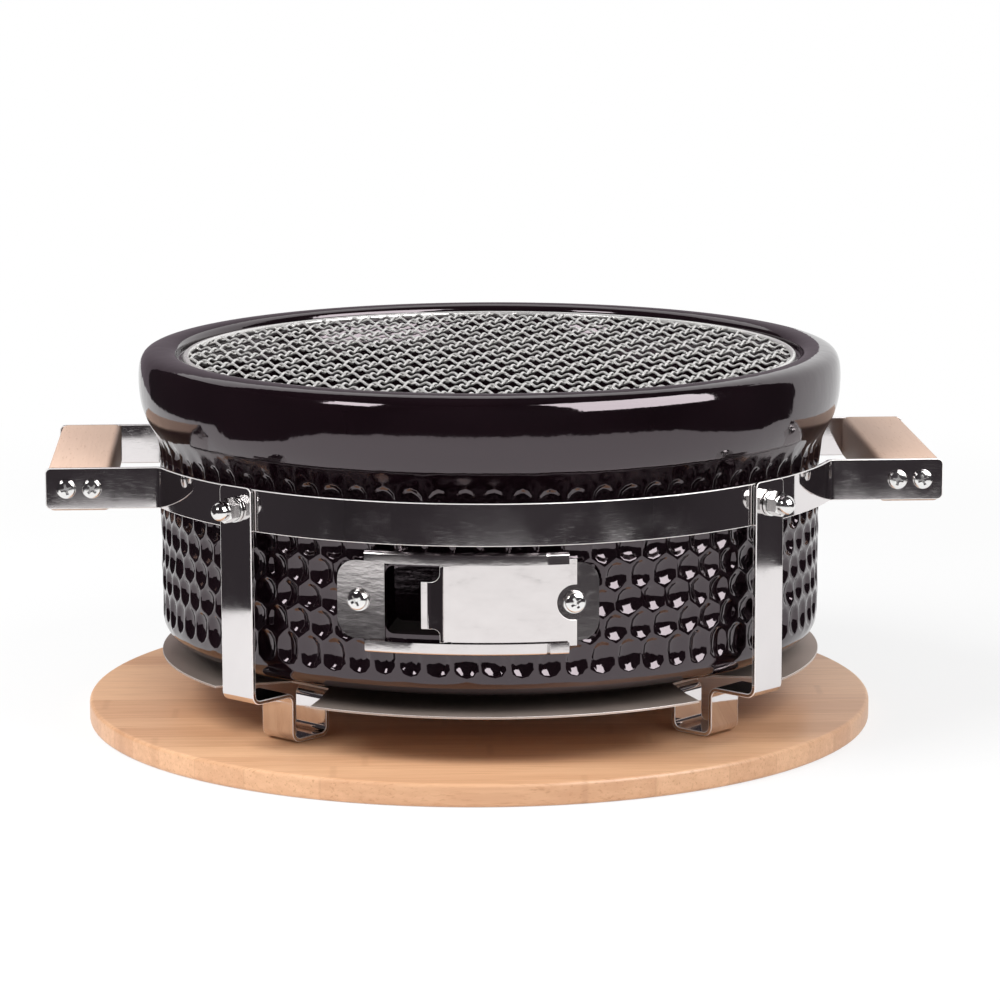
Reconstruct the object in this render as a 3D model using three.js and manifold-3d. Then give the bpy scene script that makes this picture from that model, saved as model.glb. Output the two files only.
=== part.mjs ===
// A tabletop charcoal brazier: a thrown ceramic fire bowl in a folded steel stand with two wooden grips,
// a woven cooking net on its rim, a sliding air vent in its wall, and a round bamboo board underneath.
//
// Millimetres, +Z up. The origin is on the underside of the board, in the middle of the whole object.
// The grips lie at -X and +X, and the vent is at the front, towards -Y.
// An azimuth is counted from the front towards +X, in degrees.

import * as THREE from 'three';
import { mergeVertices } from 'three/addons/utils/BufferGeometryUtils.js';
import Module from 'manifold-3d';

const wasm = await Module();
wasm.setup();

// ---------------------------------------------------------------- driving dimensions

// Clearances
const SEAT_GAP = 0.3; // between a piece and what it rests on or is fastened to
const HOLE_CLEARANCE = 0.35; // round a shank in its hole
const SCREW_TIP_ROOM = 1; // hole beyond the tip of a screw or bolt
const HOLE_REACH = 6; // cutter of a hole, beyond the face of the sheet that it goes through

// Bamboo board
const BOARD_MARGIN = 17.7; // beyond the legs
const BOARD_THICKNESS = 11;
const BOARD_EDGE_ROUND = 2;
const BOARD_OFFSET_X = -5.5; // the stand is set down a little to the right of the board's middle

// Ceramic bowl, outside, upwards from its foot ring
const BOWL_WALL_RADIUS = 157;
const BOWL_NECK_HEIGHT = 93.9; // where the wall starts to swell into the rim
const BOWL_RIM_HEIGHT = 53.2; // neck to crown
const BOWL_RIM_BULGE = 13; // rim beyond the wall
const BOWL_BULGE_HEIGHT = 38.5; // neck to the widest place of the rim
const BOWL_CROWN_INSET = 12; // crown inside the widest place
const SWELL_START = 11.9; // how far the wall keeps upright above the neck, on its way into the rim
const SWELL_END = 21; // how far the rim's side keeps upright below its widest place
const SHOULDER_DROP = 5.5; // outer shoulder of the crown, below its top
const SHOULDER_RUN = 7.5; // outer shoulder of the crown, outward from its top
const BOWL_EDGE_ROUND = 13; // between wall and underside
const FOOT_RING_RADIUS = 116;
const FOOT_RING_WIDTH = 16;
const FOOT_RING_HEIGHT = 7.4;

// Ceramic bowl, inside
const RIM_WIDTH = 18.7; // widest place of the rim to the inner face above the net ledge
const NET_LEDGE_DEPTH = 6.2; // below the crown
const NET_LEDGE_WIDTH = 8.3;
const NET_LEDGE_ROUND = 2;
const LIP_DROP = 1; // inner shoulder of the crown, below its top
const LIP_RUN = 3.5; // inner shoulder of the crown, inward from its top
const FIRE_BOWL_TAPER = 4;
const GRATE_LEDGE_DEPTH = 76.7; // below the crown
const GRATE_LEDGE_WIDTH = 5;
const ASH_TAPER = 3;
const FLOOR_THICKNESS = 14;
const FLOOR_FILLET = 12;

// Charcoal grate
const GRATE_THICKNESS = 4;
const GRATE_PLAY = 1.2; // round its edge
const GRATE_RIM = 14;
const GRATE_SLOT_WIDTH = 8;
const GRATE_SLOT_CORNER = 3.9;
const GRATE_SLOT_PITCH = 17;

// Cooking net
const NET_PLAY = 2.8; // round its edge ring
const NET_RING_WIRE = 2.9; // diameter
const NET_WIRE = 1.35; // diameter
const NET_DIRECTION_A = -44.5; // degrees, of the wires that run from the back left to the front right
const NET_DIRECTION_B = 66.2; // degrees, of the steeper wires
const NET_PITCH_A = 16.4; // along a wire of set A, between crossings
const NET_PITCH_B = 19.7; // along a wire of set B, between crossings

// Strap and hoop stock
const STRAP_THICKNESS = 2;
const STRAP_WIDTH = 20;
const STRAP_BEND = 3; // inner bend radius
const STRAP_CORNER = 3; // rounding of the cut ends

// Hoops and their handle arms
const HOOP_HEIGHT = 19.5;
const HOOP_ROOM = 12; // bowl wall to the inside of the hoop
const HOOP_BELOW_NECK = 4.1; // middle of the hoop under the bowl's neck
const ARM_SPACING = 124.8; // between the inner faces of the front and rear arms
const ARM_OVERHANG = 1; // arm beyond the grip

// Grips
const FINGER_ROOM = 10.5; // outside of the hoop to the grip
const GRIP_WIDTH = 29.5;
const GRIP_HEIGHT = 20.8;
const GRIP_DROP = 0.4; // its middle under the middle of the hoop
const GRIP_ROUND = 3;
const GRIP_SCREW_SPACING = 12;
const GRIP_SCREW_DEPTH = 20;

// Legs
const LEG_AZIMUTH = 45; // of the front right leg; the others mirror it
const LEG_ABOVE_HOOP = 0.8;
const SHELF_LENGTH = 25.6; // upright to the foot's outer leg
const SHELF_LIFT = 2.5; // shelf above the inward run
const FOOT_LENGTH = 22;
const FOOT_HEIGHT = 21.7; // board to the top of the inward run

// Heat plate
const PLATE_THICKNESS = 1;
const PLATE_MARGIN = 10.8; // its edge inside the uprights
const NOTCH_INNER_ROOM = 2; // beside the strap at the notch's inner end
const NOTCH_WAIST_ROOM = 14; // beside the strap at the bend of the notch's sides
const NOTCH_MOUTH_ROOM = 21; // beside the strap at the plate's edge
const NOTCH_WAIST_INSET = 16.5; // from the plate's edge to that bend
const RIVET_ROOM = 12; // rivet's middle to the inside of the foot ring
const RIVET_INSET = 10; // rivet's middle to the end of the inward run

// Vent; lengths across it run along the plate, from the vent's middle towards +X
const VENT_AZIMUTH = -6.75; // degrees, of its middle
const VENT_HEIGHT = 52.1; // its middle above the foot of the bowl
const VENT_WINDOW_LEFT = -37.6;
const VENT_WINDOW_RIGHT = 17.6;
const VENT_HOLE_OFFSET = -7.7;
const VENT_HOLE_RISE = 0.5; // its middle above the vent's
const VENT_HOLE_WIDTH = 48;
const VENT_HOLE_HEIGHT = 28.5;
const VENT_HOLE_CORNER = 4;
const VENT_SEAT_RELIEF = 3.2; // smooth seat of the vent plate, raised from the studded wall
const VENT_SEAT_INSET = 1.5; // from the plate's edge
const VENT_SEAT_ROOT = 4; // how deep the seat grows out of the wall
const VENT_SHEET = 0.8;
const WINDOW_OVER_EARS = 1; // window higher than the ears, above and below
const EAR_REACH = 60.8; // both ways
const EAR_HEIGHT = 36;
const EAR_CORNER = 9;
const GUIDE_REACH = 46; // both ways
const GUIDE_HEIGHT = 47.2; // over both folds
const GUIDE_LIP = 5.6; // height of a fold's outer lip
const GUIDE_ROOM = 2.5; // inside a fold, between the plate and the lip

// Vent door
const DOOR_SHEET = 1;
const DOOR_BEND = 0.4; // inner bend radius
const DOOR_LEFT = -7.7; // where the door turns outward into its finger tab
const DOOR_RIGHT = 50;
const DOOR_ENTRY = 1.9; // into each guide
const DOOR_PLAY = 0.5; // between the finger side of the door and the guide lips
const TAB_REACH = 4.6; // outward
const TAB_RUN = 7.5; // along the plate, over which the tab slants outward
const TAB_TIP = 4.1;
const TAB_HEIGHT = 21.5;
const TAB_FILLET = 3.5;
const DOOR_NOTCH = 8.2; // radius of the half-round notch round the right screw

// Fasteners: shank radius, head radius, head height
const LEG_BOLT = { shank: 3, head: 5.5, height: 2.4 };
const GRIP_SCREW = { shank: 2, head: 4.6, height: 2.3 };
const VENT_SCREW = { shank: 2, head: 4.7, height: 2.5 };
const RIVET = { shank: 2, head: 4, height: 1.5 };
const RIVET_TAIL_RADIUS = 3.4;
const LEG_WASHER_RADIUS = 6;
const LEG_WASHER_THICKNESS = 1.2;
const VENT_WASHER_RADIUS = 5.2;
const VENT_WASHER_THICKNESS = 0.8;
const NUT_ACROSS_FLATS = 10;
const NUT_HEX_HEIGHT = 5.5;
const NUT_HEIGHT = 11.6;
const NUT_DOME_RADIUS = 4.6;
const VENT_SCREW_LEFT = -50; // along the plate, from the vent's middle
const VENT_SCREW_RIGHT = 49;
const VENT_SCREW_DEPTH = 12;

// Flat sides of the round pieces
const BOWL_SIDES = 52;
const BOARD_SIDES = 52;
const DISC_SIDES = 60; // grate and heat plate
const HOOP_SIDES = 26; // of the arc of one hoop
const NET_SIDES = 48;
const NOTCH_SIDES = 28;
const WASHER_SIDES = 12;

// ---------------------------------------------------------------- places worked out from them

const legAzimuths = {
  front_left: -LEG_AZIMUTH,
  front_right: LEG_AZIMUTH,
  rear_right: 180 - LEG_AZIMUTH,
  rear_left: LEG_AZIMUTH - 180,
};
const footUnderside = BOARD_THICKNESS + SEAT_GAP;
const runTop = footUnderside + FOOT_HEIGHT;
const plateUnderside = runTop + SEAT_GAP;
const plateTop = plateUnderside + PLATE_THICKNESS;
const bowlFoot = plateTop + SEAT_GAP;

const neckZ = bowlFoot + BOWL_NECK_HEIGHT;
const crownZ = neckZ + BOWL_RIM_HEIGHT;
const rimRadius = BOWL_WALL_RADIUS + BOWL_RIM_BULGE;
const lipRadius = rimRadius - RIM_WIDTH;
const netLedgeZ = crownZ - NET_LEDGE_DEPTH;
const fireRadius = lipRadius - NET_LEDGE_WIDTH;
const grateLedgeZ = crownZ - GRATE_LEDGE_DEPTH;
const grateLedgeRadius = fireRadius - FIRE_BOWL_TAPER;
const ashRadius = grateLedgeRadius - GRATE_LEDGE_WIDTH;

const hoopInner = BOWL_WALL_RADIUS + HOOP_ROOM;
const hoopOuter = hoopInner + STRAP_THICKNESS;
const hoopMiddleZ = neckZ - HOOP_BELOW_NECK;
const hoopBottomZ = hoopMiddleZ - HOOP_HEIGHT / 2;
const armInnerY = ARM_SPACING / 2;
const armOuterY = armInnerY + STRAP_THICKNESS;
const gripInnerX = hoopOuter + FINGER_ROOM;
const gripMiddleX = gripInnerX + GRIP_WIDTH / 2;
const armEndX = gripInnerX + GRIP_WIDTH + ARM_OVERHANG;

const strapInner = hoopOuter + SEAT_GAP;
const strapOuter = strapInner + STRAP_THICKNESS;
const strapMiddle = strapInner + STRAP_THICKNESS / 2;
const strapTopZ = hoopMiddleZ + HOOP_HEIGHT / 2 + LEG_ABOVE_HOOP;
const footOuterRadius = strapMiddle - SHELF_LENGTH;
const riserRadius = footOuterRadius - FOOT_LENGTH;
const rivetRadius = FOOT_RING_RADIUS - FOOT_RING_WIDTH - RIVET_ROOM;
const runEndRadius = rivetRadius - RIVET_INSET;
const plateRadius = strapInner - PLATE_MARGIN;
const boardRadius = strapOuter + BOARD_MARGIN;

const ventZ = bowlFoot + VENT_HEIGHT;
const ventSeatRadius = BOWL_WALL_RADIUS + VENT_SEAT_RELIEF;
const ventInner = ventSeatRadius + SEAT_GAP;
const ventOuter = ventInner + VENT_SHEET;
const lipInner = ventOuter + GUIDE_ROOM;
const lipOuter = lipInner + VENT_SHEET;
const doorMiddle = ventOuter + SEAT_GAP + DOOR_SHEET / 2;
const doorHeight = GUIDE_HEIGHT - 2 * GUIDE_LIP + 2 * DOOR_ENTRY;
const throughWallFrom = 0.8 * ashRadius; // where a shape drawn through the curved wall starts

// ---------------------------------------------------------------- helpers

const radians = THREE.MathUtils.degToRad;
const degrees = THREE.MathUtils.radToDeg;

/** Azimuth of a place along the vent plate. */
const alongVent = (length) => VENT_AZIMUTH + degrees(length / ventOuter);

/** Point of a plan view, at an azimuth and a radius. */
function planPoint(azimuth, radius) {
  return new THREE.Vector2(radius * Math.sin(radians(azimuth)), -radius * Math.cos(radians(azimuth)));
}

/** Points of an arc about a centre, from one angle to another, in degrees. */
function arc(centreX, centreY, radius, from, to, steps) {
  const points = [];
  for (let step = 0; step <= steps; step += 1) {
    const angle = radians(from + (to - from) * (step / steps));
    points.push(new THREE.Vector2(centreX + radius * Math.cos(angle), centreY + radius * Math.sin(angle)));
  }
  return points;
}

/** Points of a whole circle about the origin. */
function circle(radius, sides) {
  return arc(0, 0, radius, 0, 360 - 360 / sides, sides - 1);
}

/** Points of a curve with two handles. */
function bend(start, startHandle, endHandle, end, steps) {
  const corners = [start, startHandle, endHandle, end].map(([x, y]) => new THREE.Vector2(x, y));
  return new THREE.CubicBezierCurve(...corners).getPoints(steps);
}

/** Rectangle with rounded corners, about a centre. */
function roundedRectangle(centreX, centreY, width, height, radius, steps = 3) {
  const x = width / 2 - radius;
  const y = height / 2 - radius;
  return [
    ...arc(centreX + x, centreY + y, radius, 0, 90, steps),
    ...arc(centreX - x, centreY + y, radius, 90, 180, steps),
    ...arc(centreX - x, centreY - y, radius, 180, 270, steps),
    ...arc(centreX + x, centreY - y, radius, 270, 360, steps),
  ];
}

/** Outline of a strip of even thickness that follows a middle line and turns each corner on a radius. */
function stripOutline(corners, innerBend, thickness, steps = 3) {
  const half = thickness / 2;
  const left = [];
  const right = [];
  const unit = (from, to) => to.clone().sub(from).normalize();
  corners.forEach((corner, index) => {
    const before = corners[index - 1];
    const after = corners[index + 1];
    if (!before || !after) {
      const along = before ? unit(before, corner) : unit(corner, after);
      left.push(new THREE.Vector2(corner.x - along.y * half, corner.y + along.x * half));
      right.push(new THREE.Vector2(corner.x + along.y * half, corner.y - along.x * half));
      return;
    }
    const incoming = unit(before, corner);
    const outgoing = unit(corner, after);
    const turn = Math.atan2(incoming.cross(outgoing), incoming.dot(outgoing));
    const side = Math.sign(turn);
    const middleRadius = innerBend + half;
    const setback = middleRadius * Math.tan(Math.abs(turn) / 2);
    const start = corner.clone().addScaledVector(incoming, -setback);
    const centreX = start.x - side * incoming.y * middleRadius;
    const centreY = start.y + side * incoming.x * middleRadius;
    const from = degrees(Math.atan2(start.y - centreY, start.x - centreX));
    const to = from + degrees(turn);
    left.push(...arc(centreX, centreY, middleRadius - side * half, from, to, steps));
    right.push(...arc(centreX, centreY, middleRadius + side * half, from, to, steps));
  });
  return [...left, ...right.reverse()];
}

/** Mesh whose triangles share their corners. */
function withSharedCorners(geometry) {
  if (geometry.userData.sharesCorners) {
    return geometry;
  }
  const bare = geometry.clone();
  bare.deleteAttribute('normal');
  bare.deleteAttribute('uv');
  return mergeVertices(bare, 1e-5);
}

/** Solid of a closed mesh. */
function solidOf(geometry) {
  const { attributes, index } = withSharedCorners(geometry);
  const vertProperties = new Float32Array(attributes.position.array);
  const triVerts = new Uint32Array(index.array);
  return new wasm.Manifold(new wasm.Mesh({ numProp: 3, vertProperties, triVerts }));
}

/** Mesh geometry of a solid. */
function geometryOf(solid) {
  const mesh = solid.getMesh();
  const geometry = new THREE.BufferGeometry();
  geometry.setAttribute('position', new THREE.Float32BufferAttribute(mesh.vertProperties, 3));
  geometry.setIndex(new THREE.BufferAttribute(new Uint32Array(mesh.triVerts), 1));
  geometry.computeVertexNormals();
  geometry.userData.sharesCorners = true;
  return geometry;
}

/** First shape less all the others. */
function cut(geometry, ...tools) {
  return geometryOf(tools.reduce((solid, tool) => solid.subtract(solidOf(tool)), solidOf(geometry)));
}

/** All the shapes as one. */
function join(...geometries) {
  return geometryOf(geometries.map(solidOf).reduce((whole, solid) => whole.add(solid)));
}

/** What two shapes have in common. */
function common(geometry, other) {
  return geometryOf(solidOf(geometry).intersect(solidOf(other)));
}

/** Outline in plan, raised from one height to another. */
function upright(outline, bottom, top, holes = []) {
  const shape = new THREE.Shape(outline);
  shape.holes = holes.map((hole) => new THREE.Path(hole));
  return new THREE.ExtrudeGeometry(shape, { depth: top - bottom, bevelEnabled: false }).translate(0, 0, bottom);
}

/** Outline in (X, Z), drawn through from the front to the back. */
function frontToBack(outline, front, back) {
  const geometry = new THREE.ExtrudeGeometry(new THREE.Shape(outline), { depth: back - front, bevelEnabled: false });
  return geometry.rotateX(Math.PI / 2).translate(0, back, 0);
}

/** Shape drawn along -Y at the front of the stand, turned to an azimuth. */
function turnTo(azimuth, geometry) {
  return geometry.rotateZ(radians(azimuth));
}

/** Closed outline in (radius, height), carried round the axis between two azimuths. */
function aroundWall(outline, from, to, stepDegrees = 4) {
  const steps = Math.max(1, Math.ceil((to - from) / stepDegrees));
  const count = outline.length;
  const positions = [];
  const indices = [];
  for (let step = 0; step <= steps; step += 1) {
    for (const { x: radius, y: height } of outline) {
      const place = planPoint(from + (to - from) * (step / steps), radius);
      positions.push(place.x, place.y, height);
    }
  }
  for (let step = 0; step < steps; step += 1) {
    for (let index = 0; index < count; index += 1) {
      const a = step * count + index;
      const b = step * count + ((index + 1) % count);
      indices.push(a, a + count, b, b, a + count, b + count);
    }
  }
  const last = steps * count;
  for (const [a, b, c] of THREE.ShapeUtils.triangulateShape(outline, [])) {
    indices.push(a, b, c, last + a, last + c, last + b);
  }
  const geometry = new THREE.BufferGeometry();
  geometry.setAttribute('position', new THREE.Float32BufferAttribute(positions, 3));
  geometry.setIndex(indices);
  return geometry;
}

/** Rectangle in (radius, height). */
function band(inner, outer, bottom, top) {
  return [
    new THREE.Vector2(inner, bottom),
    new THREE.Vector2(outer, bottom),
    new THREE.Vector2(outer, top),
    new THREE.Vector2(inner, top),
  ];
}

/** Profile of (radius, height) points turned about +Z. */
function turned(profile, segments) {
  const points = profile.map((point) => (point.isVector2 ? point : new THREE.Vector2(...point)));
  return new THREE.LatheGeometry(points, segments).rotateX(Math.PI / 2);
}

/** Round bar along +Z. */
function rod(radius, bottom, top, segments = 8) {
  return turned([[0, bottom], [radius, bottom], [radius, top], [0, top]], segments);
}

/** Ring about +Z. */
function ring(inner, outer, bottom, top, segments) {
  return turned([[inner, bottom], [outer, bottom], [outer, top], [inner, top], [inner, bottom]], segments);
}

/** Shape that stands along +Z, laid along the outward direction of an azimuth, its origin at radius and height. */
function outward(geometry, azimuth, radius, height) {
  return turnTo(azimuth, geometry.rotateX(Math.PI / 2).translate(0, -radius, height));
}

/** Screw or rivet with a domed head on +Z, the head's underside at 0 and the shank below it. */
function headed({ shank, head, height }, length, segments = 8) {
  const side = 0.35 * height;
  const shoulder = 0.8 * height;
  const crown = 0.6 * head;
  const dome = bend([head, side], [head, shoulder], [crown, height], [0, height], 2);
  return turned([[0, -length], [shank, -length], [shank, 0], [head, 0], ...dome], segments);
}

/** Cutter for the hole of a screw, bolt or rivet through a sheet at 0, along +Z. */
function holeFor({ shank }) {
  return rod(shank + HOLE_CLEARANCE, -HOLE_REACH, HOLE_REACH);
}

// ---------------------------------------------------------------- materials

const bamboo = new THREE.MeshStandardMaterial({ color: 0xd9a569, roughness: 0.55 });
const glaze = new THREE.MeshStandardMaterial({ color: 0x17121a, roughness: 0.12 });
const iron = new THREE.MeshStandardMaterial({ color: 0x35322f, roughness: 0.7, metalness: 0.8 });
const netSteel = new THREE.MeshStandardMaterial({ color: 0xc4c2be, roughness: 0.3, metalness: 0.9 });
const mirrorSteel = new THREE.MeshStandardMaterial({ color: 0xd2d0cd, roughness: 0.12, metalness: 1 });
const mattSteel = new THREE.MeshStandardMaterial({ color: 0xa9a29b, roughness: 0.5, metalness: 0.8 });
const beech = new THREE.MeshStandardMaterial({ color: 0xe3c4a4, roughness: 0.6 });

const brazier = new THREE.Group();

/** Adds a piece, as a named mesh of its own. */
function addPiece(name, geometry, material) {
  const mesh = new THREE.Mesh(geometry, material);
  mesh.name = name;
  brazier.add(mesh);
}

// ---------------------------------------------------------------- bamboo board

function boardGeometry() {
  const inset = boardRadius - BOARD_EDGE_ROUND;
  const profile = [
    new THREE.Vector2(0, 0),
    ...arc(inset, BOARD_EDGE_ROUND, BOARD_EDGE_ROUND, -90, 0, 2),
    ...arc(inset, BOARD_THICKNESS - BOARD_EDGE_ROUND, BOARD_EDGE_ROUND, 0, 90, 2),
    new THREE.Vector2(0, BOARD_THICKNESS),
  ];
  return turned(profile, BOARD_SIDES).translate(BOARD_OFFSET_X, 0, 0);
}

addPiece('bamboo_board', boardGeometry(), bamboo);

// ---------------------------------------------------------------- ceramic bowl

/** Outside of the bowl, from the foot ring up to the crown of the rim. */
function bowlOutside() {
  const underside = bowlFoot + FOOT_RING_HEIGHT;
  const crown = rimRadius - BOWL_CROWN_INSET;
  const widest = neckZ + BOWL_BULGE_HEIGHT;
  return [
    new THREE.Vector2(FOOT_RING_RADIUS - FOOT_RING_WIDTH, bowlFoot),
    new THREE.Vector2(FOOT_RING_RADIUS, bowlFoot),
    new THREE.Vector2(FOOT_RING_RADIUS, underside),
    ...arc(BOWL_WALL_RADIUS - BOWL_EDGE_ROUND, underside + BOWL_EDGE_ROUND, BOWL_EDGE_ROUND, -90, 0, 3),
    ...bend(
      [BOWL_WALL_RADIUS, neckZ],
      [BOWL_WALL_RADIUS, neckZ + SWELL_START],
      [rimRadius, widest - SWELL_END],
      [rimRadius, widest],
      5,
    ),
    ...bend(
      [rimRadius, widest],
      [rimRadius, crownZ - SHOULDER_DROP],
      [crown + SHOULDER_RUN, crownZ],
      [crown, crownZ],
      4,
    ).slice(1),
  ];
}

/** Inside of the bowl, from the crown down to the middle of the floor. */
function bowlInside() {
  const crown = rimRadius - BOWL_CROWN_INSET;
  const lipTop = (netLedgeZ + crownZ) / 2;
  const floorZ = bowlFoot + FOOT_RING_HEIGHT + FLOOR_THICKNESS;
  const ashFoot = ashRadius - ASH_TAPER;
  return [
    ...bend(
      [crown, crownZ],
      [crown - LIP_RUN, crownZ],
      [lipRadius, crownZ - LIP_DROP],
      [lipRadius, lipTop],
      2,
    ).slice(1),
    new THREE.Vector2(lipRadius, netLedgeZ),
    ...arc(fireRadius + NET_LEDGE_ROUND, netLedgeZ - NET_LEDGE_ROUND, NET_LEDGE_ROUND, 90, 180, 2),
    new THREE.Vector2(grateLedgeRadius, grateLedgeZ),
    new THREE.Vector2(ashRadius, grateLedgeZ),
    ...arc(ashFoot - FLOOR_FILLET, floorZ + FLOOR_FILLET, FLOOR_FILLET, 0, -90, 2),
    new THREE.Vector2(0, floorZ),
  ];
}

/** Bowl turned as one piece, open at the top and hollow inside its foot ring. */
function bowlTurned() {
  const underside = bowlFoot + FOOT_RING_HEIGHT;
  const hollow = new THREE.Vector2(FOOT_RING_RADIUS - FOOT_RING_WIDTH, underside);
  return turned([new THREE.Vector2(0, underside), hollow, ...bowlOutside(), ...bowlInside()], BOWL_SIDES);
}

/** Outline of the vent's ears, seen straight on, in (across, height) about the middle of the plate. */
function earOutline(inset) {
  const across = 2 * ventOuter * Math.sin(EAR_REACH / ventOuter);
  return roundedRectangle(0, ventZ, across - 2 * inset, EAR_HEIGHT - 2 * inset, EAR_CORNER - inset, 5);
}

/** Outline seen straight on from an azimuth, drawn through the wall out to a radius. */
function throughWall(outline, azimuth, outer) {
  return turnTo(azimuth, frontToBack(outline, -outer, -throughWallFrom));
}

/** Section in (radius, height), carried along the vent between two places. */
function alongPlate(section, left, right) {
  return aroundWall(section, alongVent(left), alongVent(right));
}

/** Smooth raised seat for the vent plate. */
function ventSeat() {
  const root = BOWL_WALL_RADIUS - VENT_SEAT_ROOT;
  const earHalf = EAR_HEIGHT / 2;
  const guideHalf = GUIDE_HEIGHT / 2 - VENT_SEAT_INSET;
  const guideReach = GUIDE_REACH - VENT_SEAT_INSET;
  const ears = common(
    alongPlate(band(root, ventSeatRadius, ventZ - earHalf, ventZ + earHalf), -EAR_REACH, EAR_REACH),
    throughWall(earOutline(VENT_SEAT_INSET), VENT_AZIMUTH, ventOuter),
  );
  const middle = alongPlate(
    band(root, ventSeatRadius, ventZ - guideHalf, ventZ + guideHalf),
    -guideReach,
    guideReach,
  );
  return join(ears, middle);
}

/** Air hole behind the vent. */
function ventHole() {
  const middleZ = ventZ + VENT_HOLE_RISE;
  const outline = roundedRectangle(0, middleZ, VENT_HOLE_WIDTH, VENT_HOLE_HEIGHT, VENT_HOLE_CORNER);
  return throughWall(outline, alongVent(VENT_HOLE_OFFSET), ventSeatRadius + HOLE_REACH);
}

/** Blind hole for a vent screw. */
function ventScrewHole(place) {
  const shape = rod(VENT_SCREW.shank + HOLE_CLEARANCE, -VENT_SCREW_DEPTH - SCREW_TIP_ROOM, HOLE_REACH);
  return outward(shape, alongVent(place), ventSeatRadius, ventZ);
}

const bowlWithSeat = join(bowlTurned(), ventSeat());
const ventScrewPlaces = { left: VENT_SCREW_LEFT, right: VENT_SCREW_RIGHT };
const bowlCuts = [ventHole(), ...Object.values(ventScrewPlaces).map(ventScrewHole)];
addPiece('ceramic_body', cut(bowlWithSeat, ...bowlCuts), glaze);

// ---------------------------------------------------------------- charcoal grate

/** Slots across the grate, each as long as the disc allows at its place. */
function grateSlots(radius) {
  const slots = [];
  const reach = radius - GRATE_RIM;
  const count = Math.floor((reach - GRATE_SLOT_WIDTH) / GRATE_SLOT_PITCH);
  for (let index = -count; index <= count; index += 1) {
    const y = index * GRATE_SLOT_PITCH;
    const length = 2 * Math.sqrt(reach ** 2 - (Math.abs(y) + GRATE_SLOT_WIDTH / 2) ** 2);
    slots.push(roundedRectangle(0, y, length, GRATE_SLOT_WIDTH, GRATE_SLOT_CORNER, 1));
  }
  return slots;
}

const grateRadius = grateLedgeRadius - GRATE_PLAY;
const grateBottom = grateLedgeZ + SEAT_GAP;
const grateDisc = circle(grateRadius, DISC_SIDES);
addPiece(
  'charcoal_grate',
  upright(grateDisc, grateBottom, grateBottom + GRATE_THICKNESS, grateSlots(grateRadius)),
  iron,
);

// ---------------------------------------------------------------- cooking net

const netRingRadius = lipRadius - NET_PLAY - NET_RING_WIRE / 2;
const netMiddleZ = netLedgeZ + SEAT_GAP + NET_RING_WIRE / 2;

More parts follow.
